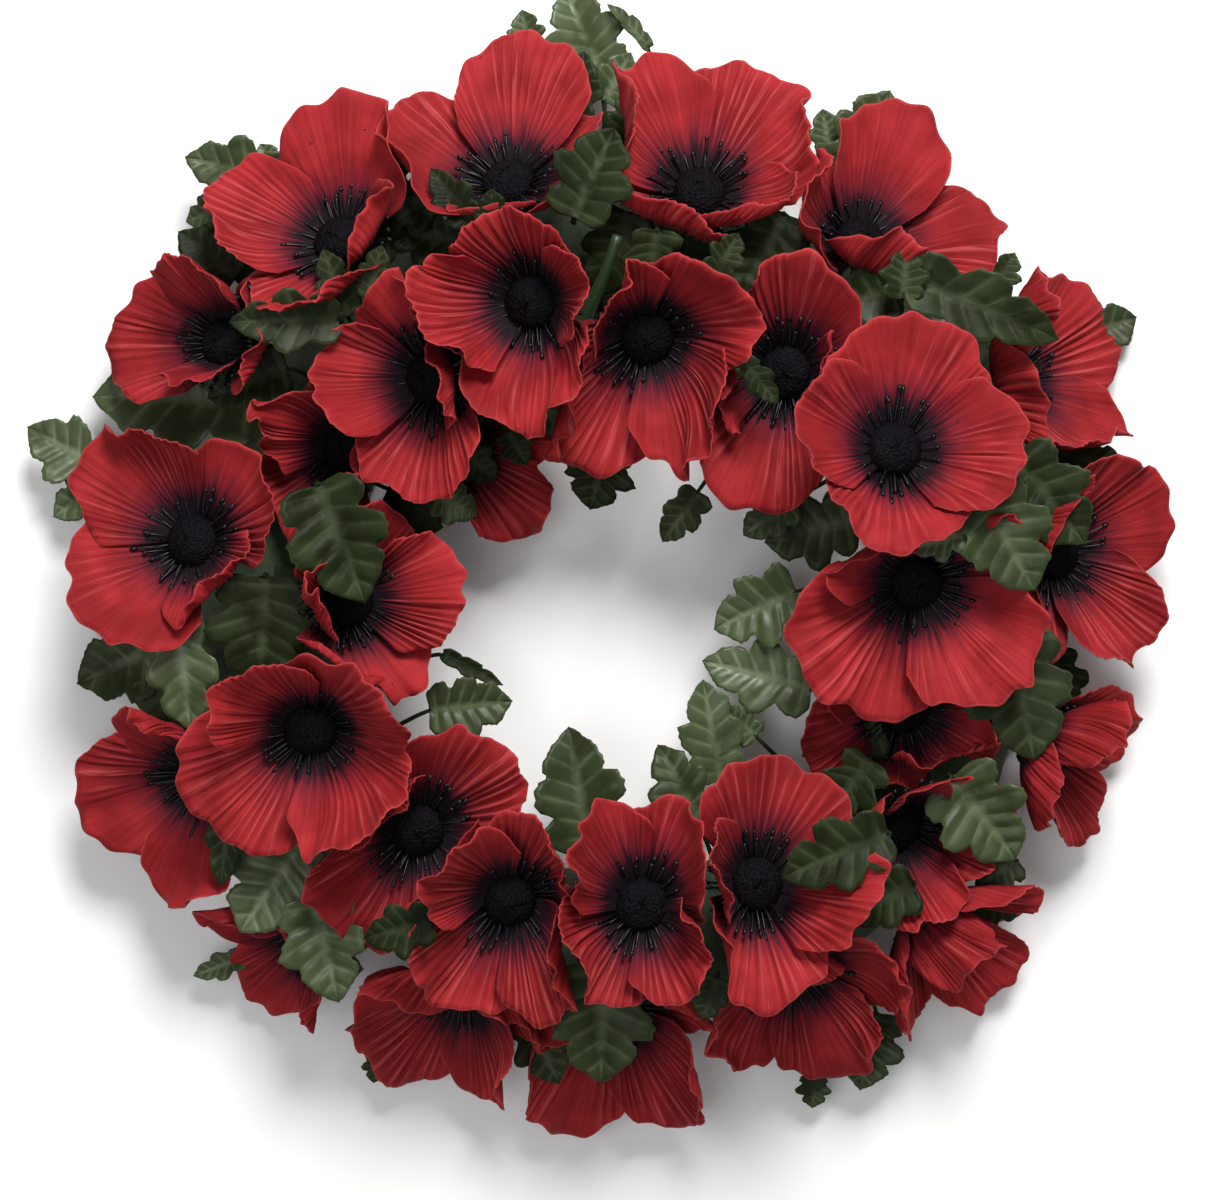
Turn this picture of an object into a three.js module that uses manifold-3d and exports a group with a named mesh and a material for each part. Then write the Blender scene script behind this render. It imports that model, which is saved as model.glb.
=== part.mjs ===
// Poppy wreath: silk poppies and leaves wired round a flat-backed ring, lying on its back.
// Millimetres. +Z points up, out of the wreath's face, and the flat back lies on Z = 0.
import * as THREE from "three";
import { mergeVertices } from "three/addons/utils/BufferGeometryUtils.js";
import Module from "manifold-3d";

const wasm = await Module();
wasm.setup();

// ---- Driving sizes: millimetres, and degrees anticlockwise from +X ----

// The ring has a flat back and a half-oval section.
const RING_RADIUS = 140;
const RING_WIDTH = 58;
const RING_HEIGHT = 28;
const RING_STEPS = 26;
const RING_ARC_POINTS = 6;

// A poppy has two outer petals, opposite each other, and two inner ones across them.
const PETALS = 4;
const OUTER_HALF_WIDTH = 64;
const INNER_HALF_WIDTH = 56;
const CLAW_WIDTH = 0.5; // share of a petal's angle that is left at the hub
const CLAW_LENGTH = 0.45;
const PETAL_THICKNESS = 0.7;
const LAYER_AT_HUB = 1.6; // the inner pair stands this far off the outer pair at the hub
const LAYER_GAIN = 4; // and this much more at the rim
const HUB_RISE = 20; // slope at which every petal leaves the hub
const RISE_GAIN = 1.15; // slope of a petal's middle, as a share of its mean rise
const RIM_FLARE = 22; // how much flatter the rim is than the middle
const FLARE_START = 0.7;
const SLOPE_STEPS = 8;
const CORNER_CUT = 0.22; // how much shorter a petal is at its side edges
const RUFFLE = 1.6; // height of the rim's waves
const RUFFLE_WAVES = 3;
const PHASE_STEP = 2.4; // radians from one poppy's waves to the next one's

// Rows of points from hub to rim: how far along the petal, and how many points across it.
const PETAL_ROWS = [[0.13, 2], [0.45, 3], [0.78, 4], [1, 4]];
const LOW_PETAL_ROWS = [[0.13, 2], [0.58, 3], [1, 4]];
const LOW_POPPY = 40; // a poppy whose pip is below this lies under its neighbours and takes the low rows
const SLOPE_STEP = 0.03; // share of a petal over which its facing is measured

const PIP_RADIUS = 11;
const PIP_RIM_HEIGHT = 7.5; // above the throat
const PIP_TOP = 13;
const PIP_HEIGHT = 9; // height above the throat of the point that the table of poppies places
const STEM_DEPTH = 9; // height inside the ring that each stem aims at

// Neighbouring poppies press against a plane between them, and the higher one leans over the lower.
const SITE_ABOVE_PIP = 12;
const NEIGHBOUR_REACH = 118;
const OVERLAP_TILT = 3;
const HIGHER_SHARE = 0.006; // extra share of the space between two poppies, for each millimetre of lift
const POPPY_GAP = 0.8;
const FOLD_UP_HIGH = 0.55; // rise of a petal along the plane, for each millimetre that it would cross it
const FOLD_UP_LOW = 0.3; // the same for the lower poppy of the two
const FOLD_PASSES = 4;
const FLOOR_GAP = 1.5; // petals and leaves stay this far above the surface the wreath lies on
const RING_GAP = 3;

const LEAF_THICKNESS = 0.8;
const LEAF_FOLD = 14; // rise of each half of a blade from its midrib
const LEAF_STEM_HALF = 1;
const LEAF_BASE_HALF = 1.6;
// A blade's rows from base to tip, as shares of its length and half width: side lobe, notch and shoulder.
const LEAF_ROWS = [[0.22, 1], [0.4, 0.66], [0.58, 0.84], [1, 0]];
const SMALL_LEAF_ROWS = [[0.26, 1], [0.55, 0.82], [1, 0]];
const SMALL_LEAF = 37; // a shorter blade takes the simpler rows
const HIGH_LEAF = 46; // a leaf based above this lies among the petals, which hold it

const CLEARANCE = 0.45; // between pieces that touch
const WELD = 1e-4; // points closer than this are one point

// Poppies, in the order clock, reach, lift, leanTo, lean, roll, petal, cup, pinch, pinchTo and four lengths.
// Clock, reach and lift place the pip: its direction and distance from the ring's centre, and its height.
// leanTo and lean say which way and how far the face turns from straight up, and roll where an outer petal
// is. petal is a petal's length and cup its mean rise. pinch is the extra rise of the petals towards pinchTo
// and opposite it, and each length is a petal's share of the petal length, in turn from roll.
const POPPIES = [
  [105, 170, 52, 105, 37, 170, 61, 26, 0, 0, 0.98, 0.95, 0.95, 1.03],
  [79, 163, 52, 80, 27, 45, 62, 25, 0, 0, 1, 1.02, 0.9, 0.88],
  [56, 170, 48, 52, 34, -12, 59, 31, 4, 150, 1.02, 1.03, 0.9, 0.92],
  [128, 179, 50, 128, 30, 80, 60, 27, 0, 0, 1.02, 1, 0.9, 0.85],
  [147, 186, 42, 170, 32, 0, 52, 36, 12, 90, 0.95, 0.95, 1.02, 0.9],
  [172, 169, 50, 160, 16, 40, 56, 22, 0, 0, 0.85, 1.02, 1.03, 0.86],
  [107, 119, 74, 215, 20, 100, 55, 30, 0, 0, 0.9, 1.02, 1.08, 0.85],
  [131, 113, 64, 195, 28, 90, 51, 30, 6, 0, 0.95, 1, 1.03, 0.85],
  [151, 123, 44, 205, 22, 60, 50, 36, 12, 150, 0.9, 1, 0.95, 0.9],
  [84, 100, 72, 268, 26, 40, 57, 30, 0, 0, 0.88, 0.95, 1.05, 1.03],
  [54, 108, 62, 240, 16, 80, 54, 28, 4, 0, 0.95, 0.95, 1.05, 0.9],
  [29, 120, 78, 60, 13, 95, 55, 24, 0, 0, 1.02, 0.92, 0.95, 0.98],
  [29, 180, 36, 12, 48, 40, 56, 28, 0, 0, 1, 1, 0.95, 1],
  [6, 174, 38, 345, 32, 40, 56, 28, 0, 0, 0.95, 0.9, 0.95, 1.03],
  [3, 115, 64, 292, 16, 45, 58, 23, 0, 0, 0.95, 0.88, 1.02, 1.03],
  [180, 105, 55, 355, 22, 95, 52, 33, 4, 170, 0.85, 0.92, 1, 1],
  [203, 129, 72, 255, 20, 40, 57, 24, 0, 0, 0.92, 0.95, 1, 1],
  [203, 181, 38, 218, 32, 10, 55, 28, 0, 0, 0.9, 0.95, 0.95, 1],
  [229, 119, 58, 285, 12, 50, 54, 28, 8, 150, 1, 0.85, 1, 0.95],
  [250, 124, 66, 268, 20, 45, 53, 29, 6, 0, 0.95, 0.95, 1, 1.02],
  [274, 117, 70, 90, 5, 45, 51, 32, 14, 0, 0.95, 1, 0.95, 0.95],
  [296, 121, 68, 45, 14, 80, 54, 30, 10, 170, 1, 0.85, 0.95, 1.02],
  [339, 120, 38, 275, 16, 45, 50, 24, 0, 0, 0.9, 0.9, 1, 1.02],
  [321, 142, 44, 322, 36, 0, 50, 34, 0, 0, 1, 0.9, 0.9, 1],
  [341, 178, 30, 332, 60, 20, 50, 38, 0, 0, 0.95, 1, 0.95, 1],
  [248, 168, 36, 248, 44, 30, 55, 28, 0, 0, 0.95, 0.95, 1, 0.98],
  [269, 165, 32, 270, 38, 50, 58, 27, 0, 0, 0.9, 0.9, 1, 1],
  [295, 163, 36, 288, 40, 30, 55, 28, 0, 0, 0.95, 0.95, 0.98, 1],
  [314, 176, 30, 312, 58, 45, 55, 38, 0, 0, 0.95, 1, 0.95, 1],
  [227, 184, 30, 222, 50, 45, 44, 34, 0, 0, 0.9, 1, 0.95, 0.95],
  [138, 90, 32, 318, 18, 50, 42, 26, 0, 0, 0.95, 0.9, 0.9, 1],
];

// Leaf sprays, each a list of blades that share a base. A blade is clock, reach and lift of the base, the
// heading it points to, its pitch up from level, the bank about its own length, its length and half width.
const LEAF_SPRAYS = [
  [[91, 202, 20, 97, 8, 0, 42, 16]],
  [[65, 194, 24, 72, 6, 0, 38, 16]],
  [[131, 204, 24, 166, 4, 0, 38, 11]],
  [[151, 163, 22, 178, 0, 0, 68, 23]],
  [[166, 212, 16, 150, 2, 0, 36, 15]],
  [[185, 176, 16, 203, 0, 0, 46, 19], [185, 176, 16, 268, 6, 10, 50, 18]],
  [[176, 138, 60, 268, -6, 0, 44, 21]],
  [[159, 124, 68, 292, 4, 0, 49, 21]],
  [[135, 152, 64, 182, 8, -10, 42, 10]],
  [[97, 146, 73, 66, 4, 0, 38, 17]],
  [[66, 172, 56, 243, 4, 0, 44, 18]],
  [[48, 166, 70, -22, 2, 0, 62, 15]],
  [[30, 209, 20, 26, 4, 0, 36, 17]],
  [[20, 162, 56, -50, 2, 0, 44, 18]],
  [[17, 142, 82, -60, -4, 0, 44, 19]],
  [[-6, 154, 53, -68, 2, 0, 48, 20]],
  [[-26, 148, 50, -50, -2, 0, 40, 19]],
  [[-41, 135, 78, 206, 4, 0, 48, 17]],
  [[94, 62, 44, 254, -10, 0, 28, 15]],
  [[3, 70, 34, 205, 0, 0, 36, 16]],
  [[-25, 84, 34, 165, 0, 0, 45, 15]],
  [[-55, 75, 34, 105, 8, 0, 33, 11]],
  [[-97, 98, 42, 100, 0, 0, 48, 19]],
  [[202, 79, 34, -6, 4, 0, 32, 14]],
  [[217, 155, 42, 236, 0, 0, 44, 20]],
  [[224, 166, 40, 284, 2, 0, 42, 18]],
  [[267, 140, 66, -90, -6, 0, 48, 21]],
  [[-58, 194, 18, 258, 0, 0, 32, 14]],
];

// ---- Small helpers ----

const radians = THREE.MathUtils.degToRad;
const UP = new THREE.Vector3(0, 0, 1);

function polar(clock, reach, height) {
  const angle = radians(clock);
  return new THREE.Vector3(reach * Math.cos(angle), reach * Math.sin(angle), height);
}

// A unit vector that leans the given degrees from straight up towards a clock direction.
function leaning(clock, degrees) {
  return polar(clock, Math.sin(radians(degrees)), Math.cos(radians(degrees)));
}

// Turns a triangle soup or an indexed geometry into a solid.
function toSolid(geometry) {
  geometry.deleteAttribute("normal");
  geometry.deleteAttribute("uv");
  const merged = mergeVertices(geometry, WELD);
  const vertProperties = new Float32Array(merged.attributes.position.array);
  const triVerts = new Uint32Array(merged.index.array);
  return new wasm.Manifold(new wasm.Mesh({ numProp: 3, vertProperties, triVerts }));
}

function toGeometry(solid) {
  const mesh = solid.getMesh();
  const positions = new THREE.BufferAttribute(new Float32Array(mesh.vertProperties), mesh.numProp);
  const indices = new THREE.BufferAttribute(new Uint32Array(mesh.triVerts), 1);
  const geometry = new THREE.BufferGeometry().setAttribute("position", positions).setIndex(indices);
  geometry.computeVertexNormals();
  return geometry;
}

function largestBody(solid) {
  return solid.decompose().reduce((best, body) => (body.volume() > best.volume() ? body : best));
}

// Triangles between two rows of points that may differ in length. Points are numbered from innerStart and
// outerStart, and the rows run the same way.
function bridge(innerStart, innerCount, outerStart, outerCount) {
  const triangles = [];
  let i = 0;
  let j = 0;
  while (i < innerCount - 1 || j < outerCount - 1) {
    const a = innerStart + i;
    const b = outerStart + j;
    const innerIsDone = i === innerCount - 1;
    const outerIsNext = j < outerCount - 1 && (j + 1) / (outerCount - 1) <= (i + 1) / (innerCount - 1);
    if (innerIsDone || outerIsNext) {
      triangles.push([a, b, b + 1]);
      j += 1;
    } else {
      triangles.push([a, b, a + 1]);
      i += 1;
    }
  }
  return triangles;
}

// Collects points and triangles. A sheet is rows of middle points with normals, given a thickness.
class Shell {
  constructor() {
    this.positions = [];
    this.indices = [];
  }

  add(point) {
    this.positions.push(point.x, point.y, point.z);
    return this.positions.length / 3 - 1;
  }

  // Two triangles between an upper edge and the edge below it.
  wall(upperFrom, lowerFrom, upperTo, lowerTo) {
    this.indices.push(upperFrom, lowerFrom, lowerTo, upperFrom, lowerTo, upperTo);
  }

  // Returns the numbers of the first row's points, upper ones first. An open base is left for a hub.
  sheet(rows, thickness, baseIsOpen) {
    const first = this.positions.length / 3;
    const flat = rows.flat();
    for (const side of [0.5, -0.5]) {
      for (const { point, normal } of flat) this.add(point.clone().addScaledVector(normal, side * thickness));
    }
    const under = flat.length;
    const starts = [];
    let start = first;
    for (const row of rows) {
      starts.push(start);
      start += row.length;
    }
    const last = rows.length - 1;
    for (let r = 0; r < last; r += 1) {
      for (const triangle of bridge(starts[r], rows[r].length, starts[r + 1], rows[r + 1].length)) {
        this.indices.push(...triangle);
        this.indices.push(...triangle.map((corner) => corner + under).reverse());
      }
    }
    // The edge runs out along one side, across the rim and back along the other side.
    const edge = [...starts];
    for (let j = 1; j < rows[last].length; j += 1) edge.push(starts[last] + j);
    for (let r = last - 1; r >= 0; r -= 1) edge.push(starts[r] + rows[r].length - 1);
    for (let i = 1; i < edge.length; i += 1) {
      if (edge[i] !== edge[i - 1]) this.wall(edge[i - 1], edge[i - 1] + under, edge[i], edge[i] + under);
    }
    const right = first;
    const left = first + rows[0].length - 1;
    if (!baseIsOpen && left !== right) this.wall(left, left + under, right, right + under);
    return { right, left, under };
  }

  solid() {
    const geometry = new THREE.BufferGeometry();
    geometry.setAttribute("position", new THREE.Float32BufferAttribute(this.positions, 3));
    geometry.setIndex(this.indices);
    return toSolid(geometry);
  }
}

// ---- Ring ----

// The ring's section, grown by margin all round: points on a half ellipse, closed by the flat back.
function ringSolid(margin) {
  const profile = [];
  for (let i = 0; i < RING_ARC_POINTS; i += 1) {
    const angle = (Math.PI * i) / (RING_ARC_POINTS - 1);
    const radius = RING_RADIUS + (RING_WIDTH / 2 + margin) * Math.cos(angle);
    profile.push(new THREE.Vector2(radius, (RING_HEIGHT + margin) * Math.sin(angle)));
  }
  if (margin > 0) {
    profile[0].y -= margin;
    profile[profile.length - 1].y -= margin;
  }
  profile.push(profile[0].clone());
  return toSolid(new THREE.LatheGeometry(profile, RING_STEPS).rotateX(Math.PI / 2));
}

// Moves a point that is too close to the ring straight out of its oval section.
function clearOfRing(point, inset) {
  const reach = Math.hypot(point.x, point.y);
  const across = (reach - RING_RADIUS) / (RING_WIDTH / 2 + RING_GAP + inset);
  const height = point.z / (RING_HEIGHT + RING_GAP + inset);
  const inside = Math.hypot(across, height);
  if (inside >= 1 || inside < WELD) return point;
  const scale = (RING_RADIUS + (reach - RING_RADIUS) / inside) / reach;
  return new THREE.Vector3(point.x * scale, point.y * scale, point.z / inside);
}

// ---- Poppies ----

function readPoppy(row, index) {
  const [clock, reach, lift, leanTo, lean, roll, petal, cup, pinch, pinchTo, ...lengths] = row;
  const axis = leaning(leanTo, lean);
  const pip = polar(clock, reach, lift);
  const turn = new THREE.Quaternion().setFromUnitVectors(UP, axis);
  return {
    axis,
    pip,
    turn,
    throat: pip.clone().addScaledVector(axis, -PIP_HEIGHT),
    site: pip.clone().addScaledVector(axis, SITE_ABOVE_PIP),
    roll: radians(roll),
    petal,
    cup,
    pinch,
    pinchTo: radians(pinchTo),
    lengths,
    phase: index * PHASE_STEP,
    walls: [],
  };
}

// The planes that keep neighbours apart, each held as a point, a normal out of the cell and a fold direction.
function addWalls(poppies) {
  poppies.forEach((a, i) => {
    poppies.slice(i + 1).forEach((b) => {
      const between = new THREE.Vector3().subVectors(b.site, a.site);
      if (between.length() > NEIGHBOUR_REACH) return;
      const share = a.petal / (a.petal + b.petal) + HIGHER_SHARE * (a.pip.z - b.pip.z);
      const middle = a.site.clone().addScaledVector(between, share);
      between.z *= OVERLAP_TILT;
      const normal = between.normalize();
      for (const [poppy, sign] of [[a, 1], [b, -1]]) {
        const outward = normal.clone().multiplyScalar(sign);
        const along = poppy.axis.clone().addScaledVector(outward, -poppy.axis.dot(outward)).normalize();
        const isHigh = between.z * sign < 0;
        poppy.walls.push({
          point: middle.clone().addScaledVector(outward, -POPPY_GAP),
          normal: outward,
          fold: along.multiplyScalar(isHigh ? FOLD_UP_HIGH : FOLD_UP_LOW),
        });
      }
    });
  });
}

// Keeps a petal's point on its own side of every wall, folding what crosses up along the wall.
function keepInCell(poppy, start, inset) {
  let point = start.clone();
  for (let pass = 0; pass < FOLD_PASSES; pass += 1) {
    for (const { point: wallPoint, normal, fold } of poppy.walls) {
      const beyond = point.clone().sub(wallPoint).dot(normal) + inset;
      if (beyond <= 0) continue;
      point.addScaledVector(normal, -beyond);
      if (pass === 0) point.addScaledVector(fold, beyond);
    }
    point.z = Math.max(point.z, FLOOR_GAP + inset);
    point = clearOfRing(point, inset);
  }
  return point;
}

// Radius and height of a petal's section at a share of the petal length, for its mean rise in degrees.
function section(petalLength, share, rise) {
  let radius = 0;
  let height = 0;
  let slope = 0;
  const length = (petalLength * share) / SLOPE_STEPS;
  for (let i = 0; i < SLOPE_STEPS; i += 1) {
    const at = (share * (i + 0.5)) / SLOPE_STEPS;
    const blend = THREE.MathUtils.smoothstep(at, 0, CLAW_LENGTH);
    const flare = Math.max(0, (at - FLARE_START) / (1 - FLARE_START)) ** 2;
    slope = radians(HUB_RISE + (RISE_GAIN * rise - HUB_RISE) * blend - RIM_FLARE * flare);
    radius += length * Math.cos(slope);
    height += length * Math.sin(slope);
  }
  return { radius, height, slope };
}

// A point on the middle of a petal: along runs 0 at the hub to 1 at the rim, across -1 to 1 between edges.
function petalPoint(poppy, petal, along, across) {
  const isInner = petal % 2 === 1;
  const claw = CLAW_WIDTH + (1 - CLAW_WIDTH) * THREE.MathUtils.smoothstep(along, 0, CLAW_LENGTH);
  const halfWidth = radians(isInner ? INNER_HALF_WIDTH : OUTER_HALF_WIDTH) * claw;
  const angle = poppy.roll + (petal * Math.PI) / 2 + halfWidth * across;
  const share = along * poppy.lengths[petal] * (1 - CORNER_CUT * Math.abs(across) ** 3);
  const rise = poppy.cup + poppy.pinch * Math.cos(2 * (angle - poppy.pinchTo));
  const { radius, height, slope } = section(poppy.petal, share, rise);
  const wave = RUFFLE * Math.sin(RUFFLE_WAVES * angle + poppy.phase) * share * share;
  const layer = isInner ? LAYER_AT_HUB + LAYER_GAIN * share : 0;
  const outward = radius - (wave + layer) * Math.sin(slope);
  const upward = height + (wave + layer) * Math.cos(slope);
  const point = new THREE.Vector3(outward * Math.cos(angle), outward * Math.sin(angle), upward);
  return keepInCell(poppy, point.applyQuaternion(poppy.turn).add(poppy.throat), layer);
}

function petalRows(poppy, petal, grow) {
  const step = SLOPE_STEP;
  const plan = poppy.pip.z < LOW_POPPY ? LOW_PETAL_ROWS : PETAL_ROWS;
  return plan.map(([along, points]) =>
    Array.from({ length: points }, (_, i) => {
      const across = (2 * i) / (points - 1) - 1;
      const outward = petalPoint(poppy, petal, along + step, across);
      outward.sub(petalPoint(poppy, petal, along - step, across));
      const sideways = petalPoint(poppy, petal, along, across + step);
      sideways.sub(petalPoint(poppy, petal, along, across - step));
      return {
        point: petalPoint(poppy, petal, along * (1 + grow / poppy.petal), across),
        normal: outward.cross(sideways).normalize(),
      };
    }),
  );
}

// Four petals on a hub: the pip above it, and below it a calyx that tapers down as the stem into the ring.
function poppySolid(poppy, grow) {
  const shell = new Shell();
  const upper = [];
  const lower = [];
  for (let petal = 0; petal < PETALS; petal += 1) {
    const rows = petalRows(poppy, petal, grow);
    const { right, left, under } = shell.sheet(rows, PETAL_THICKNESS + 2 * grow, true);
    upper.push(right, left);
    lower.push(right + under, left + under);
  }
  const place = (x, y, z) => new THREE.Vector3(x, y, z).applyQuaternion(poppy.turn).add(poppy.throat);
  const rim = upper.map((_, i) => {
    const angle = poppy.roll + (Math.PI / 4) * (i - 0.5);
    const radius = PIP_RADIUS + grow;
    return shell.add(place(radius * Math.cos(angle), radius * Math.sin(angle), PIP_RIM_HEIGHT));
  });
  const top = shell.add(place(0, 0, PIP_TOP + grow));
  const clock = THREE.MathUtils.radToDeg(Math.atan2(poppy.throat.y, poppy.throat.x));
  const root = shell.add(polar(clock, RING_RADIUS, STEM_DEPTH));
  upper.forEach((from, i) => {
    const next = (i + 1) % upper.length;
    if (i % 2 === 1) shell.wall(from, lower[i], upper[next], lower[next]);
    shell.wall(rim[i], from, rim[next], upper[next]);
    shell.indices.push(top, rim[i], rim[next]);
    shell.indices.push(root, lower[next], lower[i]);
  });
  return shell.solid();
}

// ---- Leaves ----

// A blade is folded up from its midrib. A low spray's first blade has the stem: a strip from the ring to it.
function bladeSolid(blade, hasStem, grow) {
  const [clock, reach, lift, heading, pitch, bank, length, halfWidth] = blade;
  const base = polar(clock, reach, lift);
  const root = polar(clock, RING_RADIUS, STEM_DEPTH);
  const along = leaning(heading, 90 - pitch);
  const side = UP.clone().cross(along).normalize().applyAxisAngle(along, radians(bank));
  const normal = along.clone().cross(side);
  const fold = radians(LEAF_FOLD);
  const at = (start, share, across) => {
    const point = start.clone().addScaledVector(along, share * length);
    point.addScaledVector(side, across * Math.cos(fold));
    point.addScaledVector(normal, Math.abs(across) * Math.sin(fold));
    point.z = Math.max(point.z, FLOOR_GAP);
    return { point, normal };
  };
  const rows = hasStem ? [[at(root, 0, -LEAF_STEM_HALF), at(root, 0, LEAF_STEM_HALF)]] : [];
  rows.push([at(base, 0, -LEAF_BASE_HALF), at(base, 0, LEAF_BASE_HALF)]);
  for (const [share, width] of length < SMALL_LEAF ? SMALL_LEAF_ROWS : LEAF_ROWS) {
    const half = width * halfWidth;
    const middle = at(base, share, 0);
    rows.push(half ? [at(base, share, -half), middle, at(base, share, half)] : [middle]);
  }
  const shell = new Shell();
  shell.sheet(rows, LEAF_THICKNESS + 2 * grow, false);
  return shell.solid();
}

function spraySolid(blades, grow) {
  const [, , lift] = blades[0];
  const solids = blades.map((blade, i) => bladeSolid(blade, i === 0 && lift < HIGH_LEAF, grow));
  return solids.reduce((all, blade) => all.add(blade));
}

// ---- The wreath ----

const petalRed = { color: 0x9c2428, roughness: 0.85, metalness: 0 };
const leafGreen = { color: 0x35492c, roughness: 0.6, metalness: 0 };
const ringGreen = { color: 0x24331f, roughness: 0.9, metalness: 0 };

const wreath = new THREE.Group();

function addPiece(name, solid, finish) {
  const mesh = new THREE.Mesh(toGeometry(largestBody(solid)), new THREE.MeshStandardMaterial(finish));
  mesh.name = name;
  wreath.add(mesh);
}

const twoDigits = (number) => String(number).padStart(2, "0");

addPiece("ring_base", ringSolid(0), ringGreen);
const ringWithRoom = ringSolid(CLEARANCE);

const poppies = POPPIES.map(readPoppy);
addWalls(poppies);
const taken = [];
poppies.forEach((poppy, i) => {
  addPiece("poppy_" + twoDigits(i + 1), poppySolid(poppy, 0).subtract(ringWithRoom), petalRed);
  taken.push(poppySolid(poppy, CLEARANCE));
});

LEAF_SPRAYS.forEach((blades, i) => {
  let solid = spraySolid(blades, 0).subtract(ringWithRoom);
  for (const other of taken) solid = solid.subtract(other);
  addPiece("leaf_spray_" + twoDigits(i + 1), solid, leafGreen);
  taken.push(spraySolid(blades, CLEARANCE));
});

// The origin is at the middle of the wreath's bounding box, on the surface it lies on.
const box = new THREE.Box3().setFromObject(wreath);
const centre = box.getCenter(new THREE.Vector3());
wreath.position.set(-centre.x, -centre.y, -box.min.z);

export default wreath;
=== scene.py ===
"""Poppy wreath: silk poppies and leaves wired round a taped ring, lying on its back in a pale studio.

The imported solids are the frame, and each piece dresses its own solid. A few petals and leaves are moved,
turned or lengthened a little from their solids. Lengths are metres and angles degrees, unless a name or a
comment says otherwise.
"""

import math

import bpy
import numpy as np
from mathutils import Matrix, Vector


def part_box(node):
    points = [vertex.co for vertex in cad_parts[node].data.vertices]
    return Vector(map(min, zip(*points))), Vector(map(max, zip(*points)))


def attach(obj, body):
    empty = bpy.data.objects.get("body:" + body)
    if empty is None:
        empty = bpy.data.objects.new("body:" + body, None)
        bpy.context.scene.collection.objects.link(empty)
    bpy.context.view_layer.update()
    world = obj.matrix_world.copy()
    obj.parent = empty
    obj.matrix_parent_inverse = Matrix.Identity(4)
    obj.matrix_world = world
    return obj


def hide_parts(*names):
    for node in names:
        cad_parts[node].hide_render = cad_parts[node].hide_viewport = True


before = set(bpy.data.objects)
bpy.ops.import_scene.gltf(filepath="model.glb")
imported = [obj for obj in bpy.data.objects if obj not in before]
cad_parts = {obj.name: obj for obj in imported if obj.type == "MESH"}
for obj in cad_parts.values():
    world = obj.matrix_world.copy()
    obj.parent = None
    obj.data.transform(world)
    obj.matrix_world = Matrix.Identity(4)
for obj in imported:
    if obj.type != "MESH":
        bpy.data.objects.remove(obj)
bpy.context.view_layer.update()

bl_info = {
    "name": "Poppy Wreath",
    "version": (1, 0, 0),
    "blender": (4, 5, 0),
    "location": "View3D > Sidebar > Wreath",
    "description": "Dresses the poppy wreath's solids with petals, stamens, leaves, a taped ring and drops",
    "category": "Object",
}

MM = 0.001
BODY = "root"

RING_LOW, RING_HIGH = (np.array(corner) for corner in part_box("ring_base"))
RING_CENTRE = np.array([*((RING_LOW + RING_HIGH) / 2)[:2], RING_LOW[2]])
RING_RADIUS = 140 * MM
RING_WIDTH = 58 * MM
RING_HEIGHT = 28 * MM

# ---- The solids' own construction, which the cloth follows ----

PETALS = 4
OUTER_HALF_WIDTH = 64
INNER_HALF_WIDTH = 56
CLAW_WIDTH = 0.5
CLAW_LENGTH = 0.45
LAYER_AT_HUB = 1.6 * MM
LAYER_GAIN = 4 * MM
HUB_RISE = 20
RISE_GAIN = 1.15
RIM_FLARE = 22
FLARE_START = 0.7
SLOPE_STEPS = 8

PIP_HEIGHT = 9 * MM  # from a poppy's throat to the point that its row in the table places
STEM_DEPTH = 9 * MM  # height at which stems enter the ring

SITE_ABOVE_PIP = 12 * MM  # the points that share out the room between poppies stand this far above the pips
NEIGHBOUR_REACH = 118 * MM
OVERLAP_TILT = 3
HIGHER_SHARE = 6.0  # extra share of the space between two poppies, for each metre of lift
POPPY_GAP = 0.8 * MM
FOLD_UP_HIGH = 0.55
FOLD_UP_LOW = 0.3
FOLD_PASSES = 4
FLOOR_GAP = 1.5 * MM
RING_GAP = 3 * MM
LEAF_FOLD = 14

# ---- How the cloth and the other pieces are finished ----

POPPY_SEED = 700
SPRAY_SEED = 200
SMALL_LEAF_SEED = 400
STAMEN_SEED_STEP = 31
TAPE_SEED = 5
DROP_SEED = 11

CORNER_CUT = 0.34  # how much shorter a petal is at its sides than along its middle
RIM_CORNER_CUT = 0.48  # the same for a poppy that lies over the wreath's rim
RIM_LEAN = 30  # poppies that lean this far or further lie over the rim
CORNER_POWER = 2.4
FIRST_ROW = 0.1  # where a petal's cloth starts, as a share of its length
ROW_POWER = 1.15  # above 1, the rows of faces are closer near the rim
PLEAT_PROFILE = (-1.0, 0.0, 0.7, 1.0)  # height of the strips across one pleat
STRIPS = len(PLEAT_PROFILE)
PLEAT_WIDTHS = (0.5, 1.6)
PLEAT_STRENGTHS = (0.35, 1.25)
PLEAT_GROUPS = 3
LEAST_PLEATING = 0.2  # between the groups, as a share of that in them
SCALLOP_COUNTS = (5, 9, 14, 23)
SCALLOP_DEPTH = 0.034
UNEVEN_RIM = 0.04
SIDE_CURLS = (0.5, 6.5)  # in millimetres, up at the sides of the inner petals
OUTER_CURL = 0.35  # how far the outer petals' sides curl down, as a share of that
RUFFLE_ROOM = 0.4  # share of a ruffle's height that a petal keeps from its neighbours
FOLD_SOFTNESS = 2 * MM
RUFFLE_COUNTS = (3, 5, 8, 13, 17)
RUFFLE_HEIGHTS = (1.1, 0.9, 0.75, 0.6, 0.45)
FULL_SQUEEZE = 12 * MM  # cloth that a neighbour pushes this far is ruffled and pleated most
RIM_ROLL = 1.2 * MM
WEAVE_LENGTH = 58 * MM  # petal length at which the cloth's pattern has its own size

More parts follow.
